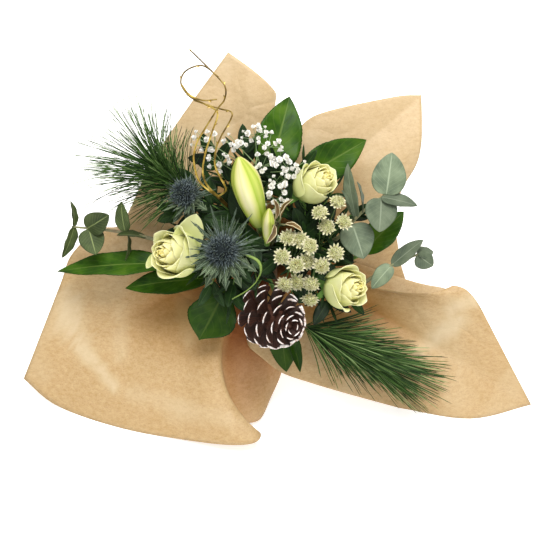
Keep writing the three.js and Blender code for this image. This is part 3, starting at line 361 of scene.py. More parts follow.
# painted shade: the fold that turns under at the front is drawn darker orange, for the light the sheet before it
# bounces in
painted_fold_shade = add(kraft, "ValToRGB", Fac=under, stops=[(0, "#ffffff"), (1, "#d8984f")])
near_neck = add(kraft, "MapRange", Value=along, From_Min=0.6, From_Max=0.95, To_Min=1, To_Max=0.25)
fold_and_hollow_shade = add(kraft, "MixRGB", Fac=near_neck, Color1=with_hollow_shade, Color2=painted_fold_shade, blend_type="MULTIPLY")
# the painted sheen and the painted shade together make the paper's colour
sheen_and_shade_painted = add(kraft, "MixRGB", Color1=glazed_sheen_painted, Color2=fold_and_hollow_shade, blend_type="MULTIPLY", Fac=0.9)
# sharp little creases some 4 cm apart, where the stiff sheet was crushed in the hand
shaken = add(kraft, "MixRGB", Color1=coords, Color2=sheen_bands.outputs["Color"], Fac=0.06)
facets = add(kraft, "TexVoronoi", Vector=shaken, Scale=24, feature="DISTANCE_TO_EDGE")
folded = add(kraft, "MapRange", Value=facets, From_Min=0, From_Max=0.16)
creases = add(kraft, "Bump", Height=folded, Strength=0.35, Distance=0.0012)
dents = add(kraft, "Bump", Height=fibres, Normal=creases, Strength=0.12, Distance=0.0003)
gloss = add(kraft, "MapRange", Value=sheen_bands, From_Min=0.3, From_Max=0.7, To_Min=0.62, To_Max=0.42)
add(kraft, "shader", Base_Color=sheen_and_shade_painted, Normal=dents, Roughness=gloss)
kraft_sheet = paper.piece("kraft_sheet", [kraft], "paper_wrap", thick=PAPER_THICKNESS)

# ---- the cord ----
# Two-ply jute cord of 2.6 mm, wound three times round the gathered paper and knotted at the back. It is
# hairy and matt, and holds the paper by friction alone.
CORD_WIDTH = 2.6
CORD_TURNS = 3
STEPS_A_TURN = 64
PLY = {"radius": 0.78, "from_middle": 0.62, "twist": 0.9}
UP = Vector((0, 0, 1))


def curve(points, steps):
    """Places at equal shares along the curve that the points pull."""
    return [bezier(points, s / steps) for s in range(steps + 1)]


def frame_of(p, t, facing):
    """A place with its direction, the way its face looks, and the way across."""
    n = (facing - t * facing.dot(t)).normalized()
    return p, t, n, n.cross(t)


def set_in(f, across, up, on=0):
    p, t, n, r = f
    return p + r * across + n * up + t * on


def turned(f, a, reach=1, on=0):
    """The place at angle a round a frame."""
    return set_in(f, reach * cos(a), reach * sin(a), on)


def frames_along(path, facing):
    """Frames at each point of a path."""
    made = []
    for i, p in enumerate(path):
        way = path[min(i + 1, len(path) - 1)] - path[max(i - 1, 0)]
        made.append(frame_of(p, way.normalized(), facing))
    return made


def tube(growth, path, radius_at, sides, facing=Vector((0.1, 1, 0.05)), shade=0.5, kind=0):
    """A round stem, wire or stalk along a path."""
    rows = []
    for i, f in enumerate(frames_along(path, facing)):
        s = i / (len(path) - 1)
        radius = radius_at(s)
        rows.append([(turned(f, 2 * pi * j / sides, radius), (j / sides, s, shade)) for j in range(sides)])
    growth.grid(rows, wrapped=True, kind=kind, capped=True)


tie = Growth()
winding = []
for k in range(CORD_TURNS * STEPS_A_TURN + 1):
    a = pi / 2 + 2 * pi * k / STEPS_A_TURN
    h = -NECK_LENGTH / 2 + CORD_WIDTH * (k / STEPS_A_TURN - CORD_TURNS / 2) * 0.86
    winding.append(Vector((cos(a), sin(a), 0)) * (NECK_RADIUS + 0.9 + CORD_WIDTH / 2) + UP * h)
for side in (0, 1):
    wound = enumerate(frames_along(winding, UP))
    ply = [turned(f, pi * side + k * PLY["twist"], PLY["from_middle"]) for k, f in wound]
    tube(tie, ply, lambda s: PLY["radius"], 6, UP)
knot = Vector((0, NECK_RADIUS + 3.6, -NECK_LENGTH / 2))
for side in (-1, 1):
    loop = []
    for k in range(14):
        a = k * 0.35
        loop.append(knot + Vector((side * 2.6 * sin(a), 1.4 * cos(a), 3.4 * cos(a * 1.5))))
    tube(tie, loop, lambda s: 1.15, 7)
    end = [knot + Vector((side * x, y, h)) for x, y, h in [(0, 0, 0), (5, 2.2, -5), (8, 1.4, -13), (7, 2.2, -19)]]
    tube(tie, curve(end, 9), lambda s: 1.1 + 0.25 * (s > 0.9), 7)

# Jute: dull golden brown, with the pale and dark hairs of the two plies, drawn 1 mm wide so that they show.
jute = material("jute_cord", "#a8834f", 0.95, Sheen_Weight=0.3)
coords = add(jute, "TexCoord").outputs["Object"]
hairs = add(jute, "TexNoise", Vector=coords, Scale=900, Detail=3)
shades = add(jute, "ValToRGB", Fac=hairs, stops=[(0.3, "#7d5c30"), (0.55, "#ab8650"), (0.8, "#cfae7c")])
fuzz = add(jute, "Bump", Height=hairs, Strength=0.6, Distance=0.0005)
add(jute, "shader", Base_Color=shades, Normal=fuzz)
tie.piece("jute_cord_tie", [jute], "neck_tie")

# ---- the stems in the tie ----
# Twenty-five cut stems stand close together in a honeycomb inside the tie, and run a little apart and turned
# below it. Above it each eases out to its head, which is where its flower or leaf begins.
STEM_SPACING = 5.9
STEM_WIDTH = 5.6
STEM_END = -128.3
STEM_TWIST = radians(-28)
HONEYCOMB_REACH = 16

# Roses and the cone: the middle of the head, the way it looks, and its width and length.
ROSES = {
    "rose_left": {
        "centre": (-90, -6, 112), "axis": (-0.62, 0.08, 0.78), "width": 56, "height": 48, "turn": -0.35,
        "loose": [
            ((-88, -9, 100), (-69, 33, 122), 15, (0.25, -0.1, 1), 0.3),
            ((-106, -4, 98), (-120, -20, 99), 5, (-0.3, 0.2, 1), 0.05),
        ],
    },
    "rose_top": {"centre": (46, 63, 113), "axis": (0.6, 0.35, 0.72), "width": 46, "height": 46, "turn": 1.7},
    "rose_right": {"centre": (76, -39, 110), "axis": (0.65, 0.05, 0.76), "width": 48, "height": 46, "turn": 2.9},
}
CONE = {"centre": (8, -70, 122), "axis": (0.6, -0.25, 0.76), "width": 62, "height": 58}


def head_frame(head):
    """The frame at the foot of a flower head or cone."""
    t = Vector(head["axis"]).normalized()
    return frame_of(Vector(head["centre"]) - t * head["height"] / 2, t, Vector((0, 1, 0)))


HEADS = {name: head_frame(head)[0] for name, head in [*ROSES.items(), ("pine_cone", CONE)]}
HEADS |= {
    "lily": (-4, 12, 84),
    "gilded": (-48, 50, 116),
    "sea_holly_upper": (-81, 53, 116),
    "sea_holly_lower": (-43, -3, 142),
    "gypsophila": (-16, 62, 84),
    "golden": (10, 24, 112),
    "masterwort_left": (26, -10, 94),
    "masterwort_right": (52, 0, 92),
    "gap_left": (-22, 24, 84),
    "gap_right": (36, 12, 84),
    "pine_left": (-70, 51, 80),
    "pine_right": (28, -74, 78),
    "eucalyptus_left": (-108, 8, 78),
    "eucalyptus_right_upper": (76, 16, 92),
    "eucalyptus_right_lower": (98, -34, 78),
    "lemon_leaf_top": (1, 73, 82),
    "lemon_leaf_upper_right": (33, 71, 80),
    "lemon_leaf_right": (98, -2, 84),
    "lemon_leaf_left": (-98, -16, 70),
    "lemon_leaf_bottom_left": (-17, -42, 88),
    "lemon_leaf_bottom": (12, -66, 74),
}


def share_places(heads):
    """Gives each stem a place in the honeycomb, swapped until no swap brings them nearer to their heads."""
    wanted = []
    for head in heads.values():
        flat = Vector(head[:2]) * 18 / (head[2] + 20)
        wanted.append(flat if flat.length < HONEYCOMB_REACH else flat.normalized() * HONEYCOMB_REACH)
    places = []
    for i in range(-3, 4):
        for j in range(-3, 4):
            rank = i * i + i * j + j * j
            place = Vector((STEM_SPACING * (i + j / 2), STEM_SPACING * j * sin(pi / 3)))
            turn = atan2(place.y, place.x) % (pi / 3)
            if rank <= 4 or (rank == 7 and turn < pi / 6):
                places.append(place)
    cost = lambda i, j: (wanted[i] - places[j]).length_squared
    swapped = True
    while swapped:
        swapped = False
        for i in range(len(places)):
            for j in range(i + 1, len(places)):
                if cost(i, j) + cost(j, i) < cost(i, i) + cost(j, j) - 1e-6:
                    places[i], places[j] = places[j], places[i]
                    swapped = True
    return dict(zip(heads, places))


PLACES = share_places(HEADS)


def stem(growth, name, head, way, radius, lift=42, ease=34, kind=0):
    """A stem from its cut end, through the tie, to its head, which it meets along the given way."""
    foot = PLACES[name].to_3d()
    low = Matrix.Rotation(STEM_TWIST, 3, "Z") @ (foot * 1.3)
    path = curve([low + UP * STEM_END, foot - UP * NECK_LENGTH], 12)
    path += curve([foot + UP * 6, foot * 1.7 + UP * lift, head - way * ease, head], 22)
    own = sum(map(ord, name))  # no two stems have the same shade and joints
    shade = (own * 0.37) % 1
    joint = 9 + (own % 7)

    def width(s):
        share = clamped((s - 0.38) * 3)
        swell = 0.35 * max(0, cos(2 * pi * joint * s)) ** 12
        return (STEM_WIDTH / 2) * (1 - share) + radius * share + swell * (1 - share)

    tube(growth, path, width, 10, shade=shade, kind=kind)


# Green stems: smooth skin over fine lengthwise fibres, with paler patches of some 17 mm.
def bark(name, dark, light, roughness):
    made = material(name, light, roughness, Subsurface_Weight=0.05)
    stretched = add(made, "Mapping", [grown(made)[0]], Scale=(60, 3, 1))
    fibre = add(made, "TexNoise", Vector=stretched, Scale=1, Detail=3)
    patches = add(made, "TexNoise", Vector=add(made, "TexCoord").outputs["Object"], Scale=60, Detail=2)
    both = add(made, "MixRGB", Color1=fibre, Color2=patches, Fac=0.5)
    tone = add(made, "ValToRGB", Fac=both, stops=[(0.35, dark), (0.65, light)])
    ridges = add(made, "Bump", Height=fibre, Strength=0.3, Distance=0.0004)
    add(made, "shader", Base_Color=tone, Normal=ridges)
    return made


green_stem = bark("green_stem", "#39591f", "#6d9440", 0.5)

# ---- the roses ----
# Three half-open cream roses. Each is a tight heart in a spiral of satin petals, greener on their outsides,
# with the outer ones rolled back at the rim. Five sepals hang from the hip at the top of its stem.
GOLDEN = pi * (3 - sqrt(5))
PETALS = 25
PETAL_STEPS = 16
SEPALS = 5
SEPAL_TURN = 1.257


def outward(f, a, on=0, reach=1):
    """The way out at angle a round a frame, as a direction."""
    return turned((Vector(), *f[1:]), a, reach, on)


def outline(s, early, late):
    """0 at both ends and 1 at the widest place."""
    widest = early / (early + late)
    return max(0, s) ** early * max(0, 1 - s) ** late / (widest**early * (1 - widest) ** late)


def leaf(growth, foot, tip, facing, half, early=0.8, late=1.0, bow=0.06, fold=0.2, wave=0, teeth=0, bite=0,
         rows=14, cols=6, stalk=0.5, shade=0.5, curl=0):
    """A blade from its foot to its tip. Bow lifts its middle, fold its edges, wave ripples them, teeth cut them."""
    foot, tip, facing = Vector(foot), Vector(tip), Vector(facing).normalized()
    long = (tip - foot).length
    mid = foot.lerp(tip, 0.5) + facing * bow * long
    last = tip + facing * curl * long
    placed = []
    for i, f in enumerate(frames_along(curve([foot, mid, last], rows), facing)):
        s = i / rows
        reach = max(half * outline(s, early, late), stalk if s < 0.5 else 0.12)
        reach *= 1 - bite * ((s * teeth) % 1)
        row = []
        for j in range(cols + 1):
            x = 2 * j / cols - 1
            ripple = wave * x * x * sin(5.2 * pi * s + (1.2 if x > 0 else 0) + 7 * shade)
            raised = reach * (fold * abs(x) ** 1.3 + ripple)
            row.append((set_in(f, x * reach, raised, abs(x) ** 3 * bite * half * 0.4), (x, s, shade)))
        placed.append(row)
    growth.grid(placed)


def rose_petal(growth, f, rose, k, share, shade):
    """One petal: share 0 is the heart's, 1 the outermost."""
    width, height, turn = rose["width"], rose["height"], rose["turn"]
    reach = width * (0.05 + 0.37 * share**0.85)
    tall = height * (0.97 + 0.1 * share - 0.24 * share * share)
    spread = 1.75 - 0.7 * share
    shut = 0.66 * (1 - share) ** 0.55
    roll = 0.24 * width * max(0, share - 0.55)
    rows = []
    for i in range(PETAL_STEPS + 1):
        v = 0.08 + 0.92 * i / PETAL_STEPS
        close = shut * max(0, (v - 0.45) / 0.55) ** 1.4
        rim = roll * max(0, (v - 0.62) / 0.38) ** 2
        root = 0.4 + 0.6 * sin(pi / 2 * min(1, v / 0.5))
        row = []
        for j in range(PETAL_STEPS + 1):
            u = 2 * j / PETAL_STEPS - 1
            wave = 0.7 * sin(3.1 * u + 2.1 * k) * v**4 * share
            radius = reach * root * (1 - close) + rim * (1 - 0.45 * u * u) + 0.9 * u * (0.3 + share) + wave
            angle = turn + k * GOLDEN + u * spread * (0.55 + 0.45 * sin(pi * min(1, v * 0.95)))
            point = 0.05 * height * share * exp(-(((u - 0.15) / 0.2) ** 2)) * v**8
            up = tall * v * (1 - 0.12 * u * u * v) - rim * 0.7 + point
            row.append((turned(f, angle, radius, up), (u, v, shade)))
        rows.append(row)
    growth.grid(rows)


def core(growth, f, profile, wide, tall, sides, mark):
    """A closed round body. Its profile has a radius and a height for each ring, as shares."""
    angles = [2 * pi * j / sides for j in range(sides)]
    rows = [[(turned(f, a, wide * r, tall * up), mark) for a in angles] for r, up in profile]
    growth.grid(rows, wrapped=True, capped=True)


def two_toned(name, color, roughness, along_stops, shade_stops, share, **sockets):
    """A skin with a tone that runs along each blade, and another drawn for the blade."""
    made = material(name, color, roughness, **sockets)
    marks, across, along, shade = grown(made)
    tone = add(made, "ValToRGB", Fac=along, stops=along_stops)
    tint = add(made, "ValToRGB", Fac=shade, stops=shade_stops)
    both = add(made, "MixRGB", Color1=tone, Color2=tint, blend_type="MULTIPLY", Fac=share)
    add(made, "shader", Base_Color=both)
    return made


# Rose petal: satin, slightly translucent, cream yellow in the heart and towards green on the outer petals'
# backs and feet, with faint veins that fan out from the foot.
petal_skin = two_toned(
    "cream_rose_petal", "#f6f3cc", 0.5,
    [(0.1, "#93a854"), (0.4, "#c9ce8e"), (0.68, "#deddab"), (1, "#ebe8c4")],
    [(0.0, "#fff0a0"), (0.4, "#fff9cc"), (1, "#f1f4d8")], 0.9,
    Subsurface_Weight=0.3, Subsurface_Scale=0.005, Specular_IOR_Level=0.3, Subsurface_Radius=(1, 0.95, 0.55),
)
fan = add(petal_skin, "TexWave", [grown(petal_skin)[0]], Scale=2.6, Distortion=2.5, Detail=2, bands_direction="X")
veins = add(petal_skin, "Bump", Height=fan.outputs["Fac"], Strength=0.1, Distance=0.0003)
add(petal_skin, "shader", Normal=veins)

for name, rose in ROSES.items():
    f = head_frame(rose)
    base, t = f[:2]
    bloom = Growth()
    # the innermost petals are still shut round each other
    heart = [(0.03, 0.2), (0.09, 0.5), (0.1, 0.75), (0.07, 0.92), (0.02, 0.965)]
    core(bloom, f, heart, rose["width"], rose["height"], 12, (0.5, 0.9, 0))
    for k in range(PETALS):
        rose_petal(bloom, f, rose, k, (k / (PETALS - 1)) ** 0.9, k / (PETALS - 1))
    for foot, tip, half, face, green in rose.get("loose", []):
        before = len(bloom.marks)
        leaf(bloom, foot, tip, face, half, 0.6, 0.7, 0.1, 0.3, wave=0.08, rows=20, cols=10, shade=1)
        bloom.marks[before:] = [(x, green + (0.9 - green) * 0.8 * s, z) for x, s, z in bloom.marks[before:]]
    bloom.piece(name + "_petals", [petal_skin], name + "_bloom", thick=0.5, levels=1)

    stalk = Growth()
    stem(stalk, name, base - t * 6, t, 2.5)
    hip = [base + t * up for up in (-10, -8, -5, -2, 0.6)]
    tube(stalk, hip, lambda s: 2.4 + 3.2 * sin(min(1, s * 1.4) * pi / 2), 14)
    for k in range(SEPALS):
        out = outward(f, SEPAL_TURN * k)
        foot, tip = base - t * 2 + out * 4.6, base - t * 4 + out * 0.42 * rose["width"]
        spine = curve([foot, foot.lerp(tip, 0.5) - t * 4 + out * 2, tip + t * 2], 8)
        rows = []
        for i, g in enumerate(frames_along(spine, t)):
            half = 4.2 * (1 - i / 8) ** 0.9 + 0.25
            rows.append([(set_in(g, half * x, 0.3 * half * x * x), (x, i / 8, 0.5)) for x in (-1, -0.5, 0, 0.5, 1)])
        stalk.grid(rows)
    stalk.piece(name + "_stalk", [green_stem], name + "_stem", crease=50)

# ---- the lily ----
# One stalk with a large closed bud, its outer petals just parting, and a small one. On each, three ribbed
# outer petals wrap three inner ones.
LILY_BUDS = {
    "lily_bud_large": {"foot": (-8, 24, 106), "tip": (-27, 86, 150), "half": 14.5},
    "lily_bud_small": {"foot": (0, 6, 108), "tip": (2, 37, 143), "half": 6.2},
}
BUD_RINGS = 48
BUD_SIDES = 96
OUTER_SHARE = 0.64  # of each third of the bud is covered by an outer petal


def lily_bud(growth, foot, tip, half):
    foot, tip = Vector(foot), Vector(tip)
    mid = foot.lerp(tip, 0.55) + Vector((-half * 0.1, 0, half * 0.3))
    rows = []
    for i, f in enumerate(frames_along(curve([foot, mid, tip], BUD_RINGS), UP)):
        s = i / BUD_RINGS
        swell = half * (0.36 + 0.64 * sin(pi * min(1, s * 0.8 + 0.08)) ** 1.1)
        radius = swell * max(sqrt(max(0, 1 - (max(0, s - 0.6) / 0.4) ** 2)), 0.04)
        row = []
        for j in range(BUD_SIDES):
            lobe = 2 * ((3 * j / BUD_SIDES - 0.14 + 0.06 * s) % 1) - 1
            outer = abs(lobe) < OUTER_SHARE
            if outer:
                edge = lobe / OUTER_SHARE
                raised = 0.05 * cos(pi / 2 * edge) + 0.035
            else:
                edge = (abs(lobe) - OUTER_SHARE) / (1 - OUTER_SHARE)
                raised = 0.02 * sin(pi * edge) - 0.035
            rib = 0.03 * exp(-((edge / 0.14) ** 2)) * outer
            reach = radius * (0.96 + (raised + rib) * (0.5 + 0.5 * s))
            mark = (0.7 * abs(edge) if outer else 0.8 + 0.2 * edge, s, (j * 3 // BUD_SIDES) / 3)
            row.append((turned(f, 2 * pi * j / BUD_SIDES, reach), mark))
        rows.append(row)
    growth.grid(rows, wrapped=True, capped=True)


# Bud skin: a waxy sheen, cream down the middle of each petal and lime at its edges and at the tip.
bud_skin = material("lily_bud_waxy_skin", "#d9e38c", 0.4, Specular_IOR_Level=0.4)
marks, across, along, shade = grown(bud_skin)
away = add(bud_skin, "Math", [across], operation="ABSOLUTE")
limes = add(bud_skin, "ValToRGB", Fac=away, stops=[
    (0.0, "#e3e2b2"), (0.16, "#ebe6c2"), (0.36, "#e6e3a6"), (0.54, "#d8de86"), (0.7, "#bfd05a"),
    (0.8, "#a9c048"), (1, "#cdd972"),
])
creams = add(bud_skin, "ValToRGB", Fac=along, stops=[
    (0.0, "#86a63c"), (0.16, "#dbe98e"), (0.35, "#f4f3e4"), (0.62, "#ebe9cf"), (0.8, "#e2e0c0"),
    (0.92, "#dad6b2"), (1, "#d4d69a"),
])
both = add(bud_skin, "MixRGB", Color1=limes, Color2=creams, blend_type="MULTIPLY", Fac=0.9)
lengthwise = add(bud_skin, "Mapping", [marks], Scale=(9, 0.6, 1))
ribs = add(bud_skin, "TexNoise", Vector=lengthwise, Scale=1.5, Detail=2)
ribbed = add(bud_skin, "Bump", Height=ribs, Strength=0.25, Distance=0.0006)
add(bud_skin, "shader", Base_Color=both, Normal=ribbed)

lily = Growth()
fork = Vector(HEADS["lily"])
stem(lily, "lily", fork, Vector((0, 0.2, 1)).normalized(), 2.6)
for name, bud in LILY_BUDS.items():
    shape = Growth()
    lily_bud(shape, bud["foot"], bud["tip"], bud["half"])
    shape.piece(name + "_petals", [bud_skin], name)
    end = Vector(bud["foot"])
    back = end - (Vector(bud["tip"]) - end).normalized() * 10
    tube(lily, curve([fork, back, end], 8), lambda s: 2.3 + s, 10)
lily.piece("lily_stalk", [green_stem], "lily_stem", crease=50)

# ---- the sea hollies ----
# Two thistle-like heads, dried blue-grey: a dome of small spiny florets in a ruff of stiff, narrow bracts whose
# edges run out into spines. They are matt, and silvery along each rib.
SEA_HOLLIES = {
    "sea_holly_upper": {"axis": (-0.4, 0.35, 0.84), "core": 11, "ruff": 36, "bracts": 9, "seed": 3},
    "sea_holly_lower": {"axis": (-0.1, 0, 0.99), "core": 13, "ruff": 45, "bracts": 12, "seed": 8},
}


def draws(seed):
    """Seeded draws, so that every run is alike."""
    state = [seed]

    def draw(low, high):
        state[0] = (state[0] * 1664525 + 1013904223) % 2**32
        return low + (high - low) * state[0] / 2**32

    return draw


def spike(growth, root, tip, wide, facing, shade=0.5, kind=0, bend=Vector(), steps=1):
    """A needle or spine, with three sides and a point."""
    middle = root.lerp(tip, 0.5) + bend
    way = (tip - root).normalized()
    rows = []
    for i in range(steps + 1):
        s = i / (steps + 0.35)
        f = frame_of(bezier([root, middle, tip], s), way, facing)
        sides = enumerate((0.5, 2.6, 4.7))
        rows.append([(turned(f, a, wide * (1 - 0.3 * s)), (j / 3, s, shade)) for j, a in sides])
    growth.grid(rows, wrapped=True, kind=kind)
    growth.points.append(tip)
    growth.marks.append((0.5, 1, shade))
    last = len(growth.points) - 1
    for j in range(3):
        growth.faces.append((last - 3 + j, last - 3 + (j + 1) % 3, last))
        growth.kinds.append(kind)


# Dried florets: slate blue at their tips, and nearly black towards their feet with painted shade, so that the head
# looks deep and furry.
holly_core = two_toned(
    "sea_holly_florets", "#44566b", 0.85,
    [(0.0, "#131817"), (0.3, "#283031"), (0.7, "#4f5a5c"), (1, "#98a19d")],
    [(0.0, "#b6bf9c"), (0.35, "#cfd8e2"), (1, "#ffffff")], 0.8, Specular_IOR_Level=0.2,
)

# Bracts: stiff, matt and grey-green, with a silvery rib and fine pits, drawn 1.4 mm wide. Painted light and shade:
# a lit copy of their colours for the bracts at the front, and a darker, shaded copy for those at the back.
holly_bract = material("sea_holly_bract", "#3f5448", 0.65, Specular_IOR_Level=0.3)
marks, across, along, shade = grown(holly_bract)
away = add(holly_bract, "Math", [across], operation="ABSOLUTE")
# painted shade: the shaded copy; painted light: the lit copy below; each bract's shade mixes them
dark = add(holly_bract, "ValToRGB", Fac=away, stops=[
    (0.0, "#7e8d7a"), (0.1, "#3f503f"), (0.6, "#1e2c20"), (0.9, "#2c3b2c"), (1, "#687664"),
])
light = add(holly_bract, "ValToRGB", Fac=away, stops=[
    (0.0, "#aab48e"), (0.13, "#66765a"), (0.6, "#43553c"), (0.9, "#5c6c4c"), (1, "#8c9974"),
])
both = add(holly_bract, "MixRGB", Fac=shade, Color1=dark, Color2=light)
speck = add(holly_bract, "TexNoise", Vector=add(holly_bract, "TexCoord").outputs["Object"], Scale=700)
rough = add(holly_bract, "Bump", Height=speck, Strength=0.3, Distance=0.0003)
add(holly_bract, "shader", Base_Color=both, Normal=rough)
# Spines and stem: silvery grey, the palest lines in the head.
silver = material("sea_holly_spine", "#77857f", 0.6)
holly_stem = bark("sea_holly_stem", "#3d5348", "#71887a", 0.6)
FLORETS = 260
SPINES = 70
SPINE_FACING = Vector((0.2, 0.9, 0.3))

for name, holly in SEA_HOLLIES.items():
    t = Vector(holly["axis"]).normalized()
    f = frame_of(Vector(HEADS[name]), t, Vector((0, 1, 0)))
    wide, ruff, count = holly["core"], holly["ruff"], holly["bracts"]
    draw = draws(holly["seed"])
    head = Growth()
    dome = [(0.62, -0.8), (0.92, -0.3), (0.9, 0.3), (0.62, 0.82), (0.25, 1.08), (0.02, 1.15)]
    core(head, f, dome, wide * 0.93, wide * 0.93, 24, (0, 0.15, 0.4))
    for k in range(FLORETS):
        rise = -0.6 + 1.57 * (k + 0.5) / FLORETS
        out = outward(f, k * GOLDEN, rise * 1.05, sqrt(max(0.02, 1 - min(1, rise) ** 2))).normalized()
        root = f[0] + out * wide * 0.8
        shade = draw(0, 1) * (0.4 if rise > 0.75 else 1)
        for spine in range(4):
            lean = set_in((Vector(), *f[1:]), draw(-0.3, 0.3), draw(-0.3, 0.3), draw(-0.1, 0.35))
            far = draw(0.24, 0.36) if spine else draw(0.45, 0.62)
            spike(head, root, root + (out + lean) * wide * far, 0.5, SPINE_FACING, shade)
    head.piece(name + "_florets", [holly_core], name + "_head")

    stalk = Growth()
    top = f[0] - t * (wide * 0.8 + 0.35)
    stem(stalk, name, top - t * 3, t, 2, kind=1)
    tube(stalk, [top - t * up for up in (6, 4, 2, 0)], lambda s: 2.2 + 3 * s, 12, kind=1)
    for k in range(count * 6):
        out = outward(f, k * GOLDEN)
        small = k >= count
        low = out.y < -0.3
        reach = ruff * (draw(0.45, 0.8) if small else draw(0.78, 1))
        rise = reach * (draw(0.1, 0.75) if small else draw(-0.15, 0.3))
        foot = top + t * (0.5 if small else -2.9) + out * 3
        half = ruff * (0.04 if small else 0.085) * (1.5 if low else 0.62)
        early, bow, teeth = (0.5, -0.1, 4) if low else (0.35, 0.04, 5)
        # painted light and shade: the bracts at the front are drawn lit and those behind shaded
        leaf(stalk, foot, top + out * reach + t * rise, t, half, early, 0.7, bow, 0.3, teeth=teeth, bite=0.68,
             rows=24, cols=4, stalk=0.55, shade=draw(0.3, 0.95) if low else draw(0, 0.45))
    # thin stiff spines stand between the florets and the bracts
    for k in range(SPINES):
        out = outward(f, k * GOLDEN + draw(0, 0.5), draw(0.1, 1.1)).normalized()
        foot = top + t * 0.6 + out * 2.5
        spike(stalk, foot, top + out * ruff * draw(0.42, 0.72), 0.36, SPINE_FACING, kind=2, steps=2)
    stalk.piece(name + "_bracts", [holly_bract, holly_stem, silver], name + "_stem", thick=0.25)

# ---- the pine cone ----
# A ripe open cone on a wooden pick, dark brown, with the rims and tips of its scales brushed with white paint.
CONE_SCALES = 56
CONE_RADIUS = CONE["width"] / 2
SCALE_SIDES = 20
# how far out on the scale each ring lies, and its half width and thickness there
SCALE_RINGS = [
    (0.0, 0.26, 0.8), (0.35, 0.42, 0.8), (0.62, 0.72, 0.8), (0.78, 0.94, 0.9), (0.88, 1.0, 1.1), (0.94, 0.9, 1.2),
    (0.98, 0.68, 1.1), (1.0, 0.4, 0.8), (1.01, 0.15, 0.4),
]
# Scales: dark red-brown wood with lengthwise grain, and brushed white paint, pinkish where it is thin.
scale_wood = material("pine_cone_scale", "#3b2118", 0.55, Specular_IOR_Level=0.4)
marks, across, along, shade = grown(scale_wood)
streak = add(scale_wood, "Mapping", [marks], Scale=(7, 2, 9))
grain = add(scale_wood, "TexNoise", Vector=streak, Scale=2, Detail=4)
wood = add(scale_wood, "ValToRGB", Fac=grain, stops=[(0.3, "#130a07"), (0.5, "#2e1911"), (0.68, "#573222")])
# brush strokes of some 2 mm
patchy = add(scale_wood, "TexNoise", Vector=add(scale_wood, "TexCoord").outputs["Object"], Scale=380, Detail=3)
broken = add(scale_wood, "Math", [patchy, 0.8, -0.4], operation="MULTIPLY_ADD")
near_rim = add(scale_wood, "Math", [along, broken], operation="ADD")
paint = add(scale_wood, "MapRange", Value=near_rim, From_Min=0.52, From_Max=0.6)
whites = add(scale_wood, "ValToRGB", Fac=patchy, stops=[(0.35, "#c9a99a"), (0.5, "#efe4dd"), (0.7, "#fbf7f3")])
painted = add(scale_wood, "MixRGB", Fac=paint, Color1=wood, Color2=whites)
ridged = add(scale_wood, "Bump", Height=grain, Strength=0.5, Distance=0.0006)
add(scale_wood, "shader", Base_Color=painted, Normal=ridged)

f = head_frame(CONE)
base, t = f[:2]
tall = CONE["height"]
cone = Growth()
spindle = [(0.2, 0), (0.42, 0.08), (0.5, 0.35), (0.42, 0.65), (0.2, 0.86), (0.01, 0.92)]
core(cone, f, spindle, CONE_RADIUS * 0.8, tall, SCALE_SIDES, (0, 0, 0.2))
draw = draws(19)
for k in range(CONE_SCALES):
    share = (k + 0.5) / CONE_SCALES
    swell = sqrt(max(0.03, 1 - ((share - 0.3) / 0.74) ** 2))
    pitch = radians(-6 + 74 * share**1.3)
    out = outward(f, k * GOLDEN)
    way = out * cos(pitch) + t * sin(pitch)
    root = base + t * tall * (0.06 + 0.8 * share**0.9) + out * CONE_RADIUS * 0.2 * swell
    g = frame_of(root, way, t)
    reach, wide = CONE_RADIUS * 0.8 * swell, 1.5 + 6.9 * swell
    coat = 0.8 + 0.16 * share + draw(-0.07, 0.07)
    # the front scales carry a short thick stroke, the ones behind a thin line round the rim
    front = clamped((share - 0.3) / 0.25)
    stroke = draw(0.02, 0.1)
    rows = []
    for on, half, thick in SCALE_RINGS:
        row = []
        for j in range(SCALE_SIDES):
            x, y = cos(2 * pi * j / SCALE_SIDES), sin(2 * pi * j / SCALE_SIDES)
            cup = 0.24 * wide * (half * x) ** 2 + 0.1 * wide * max(0, on - 0.7) / 0.3
            side = max(0, (half * abs(x) - 0.86) / 0.12) * (1 - front) * max(0, on - 0.55)
            rim = max(0, (on - 0.93 + stroke * front) / 0.07) * (1 - front * clamped((abs(x) * half - 0.5) / 0.45))
            mark = (x, coat * min(1, rim + side) * (1 if y > -0.3 else 0.7), share)
            row.append((set_in(g, wide * half * x, 0.5 * thick * y + cup, on * reach), mark))
        rows.append(row)
    cone.grid(rows, wrapped=True, capped=True)
cone.piece("pine_cone_scales", [scale_wood], "pine_cone")

# The pick: plain brown wood, rough and matt.
brown_pick = bark("wooden_pick", "#3a2519", "#6f4d33", 0.7)
pick = Growth()
stem(pick, "pine_cone", base - t * 0.35, t, 1.6)
pick.piece("pine_cone_stick", [brown_pick], "pine_cone_pick", crease=50)

# ---- the pine ----
# Two sprays of long two-needled pine. Stiff dark needles stand all round the end of each twig, swept towards
# its tip and drooping a little under their own weight.
# Sweep is how far the needles lean to the tip, open the share of it at the twig's foot, fan how much it varies.
PINES = {
    "pine_left": {
        "twig": [(-70, 51, 80), (-90, 64, 86), (-112, 82, 92)], "needles": 280, "length": (62, 90), "sweep": 0.94,
        "open": 0.45, "fan": (0.3, 2.5), "thick": 0.43, "sag": (-0.12, -0.04, 0.0), "seed": 21,
    },
    "pine_right": {
        "twig": [(28, -74, 78), (62, -91, 73), (98, -110, 69)], "needles": 330, "length": (72, 100), "sweep": 4.2,
        "open": 0.17, "fan": (0.6, 1.4), "thick": 0.5, "sag": (0.08, 0.04, -0.08), "seed": 34,
    },
}
TWIG_STEPS = 24
SURFACE = -150  # y + h where the bouquet lies on the surface
CLEAR = 5  # how far the needles' points stay above it, as y + h


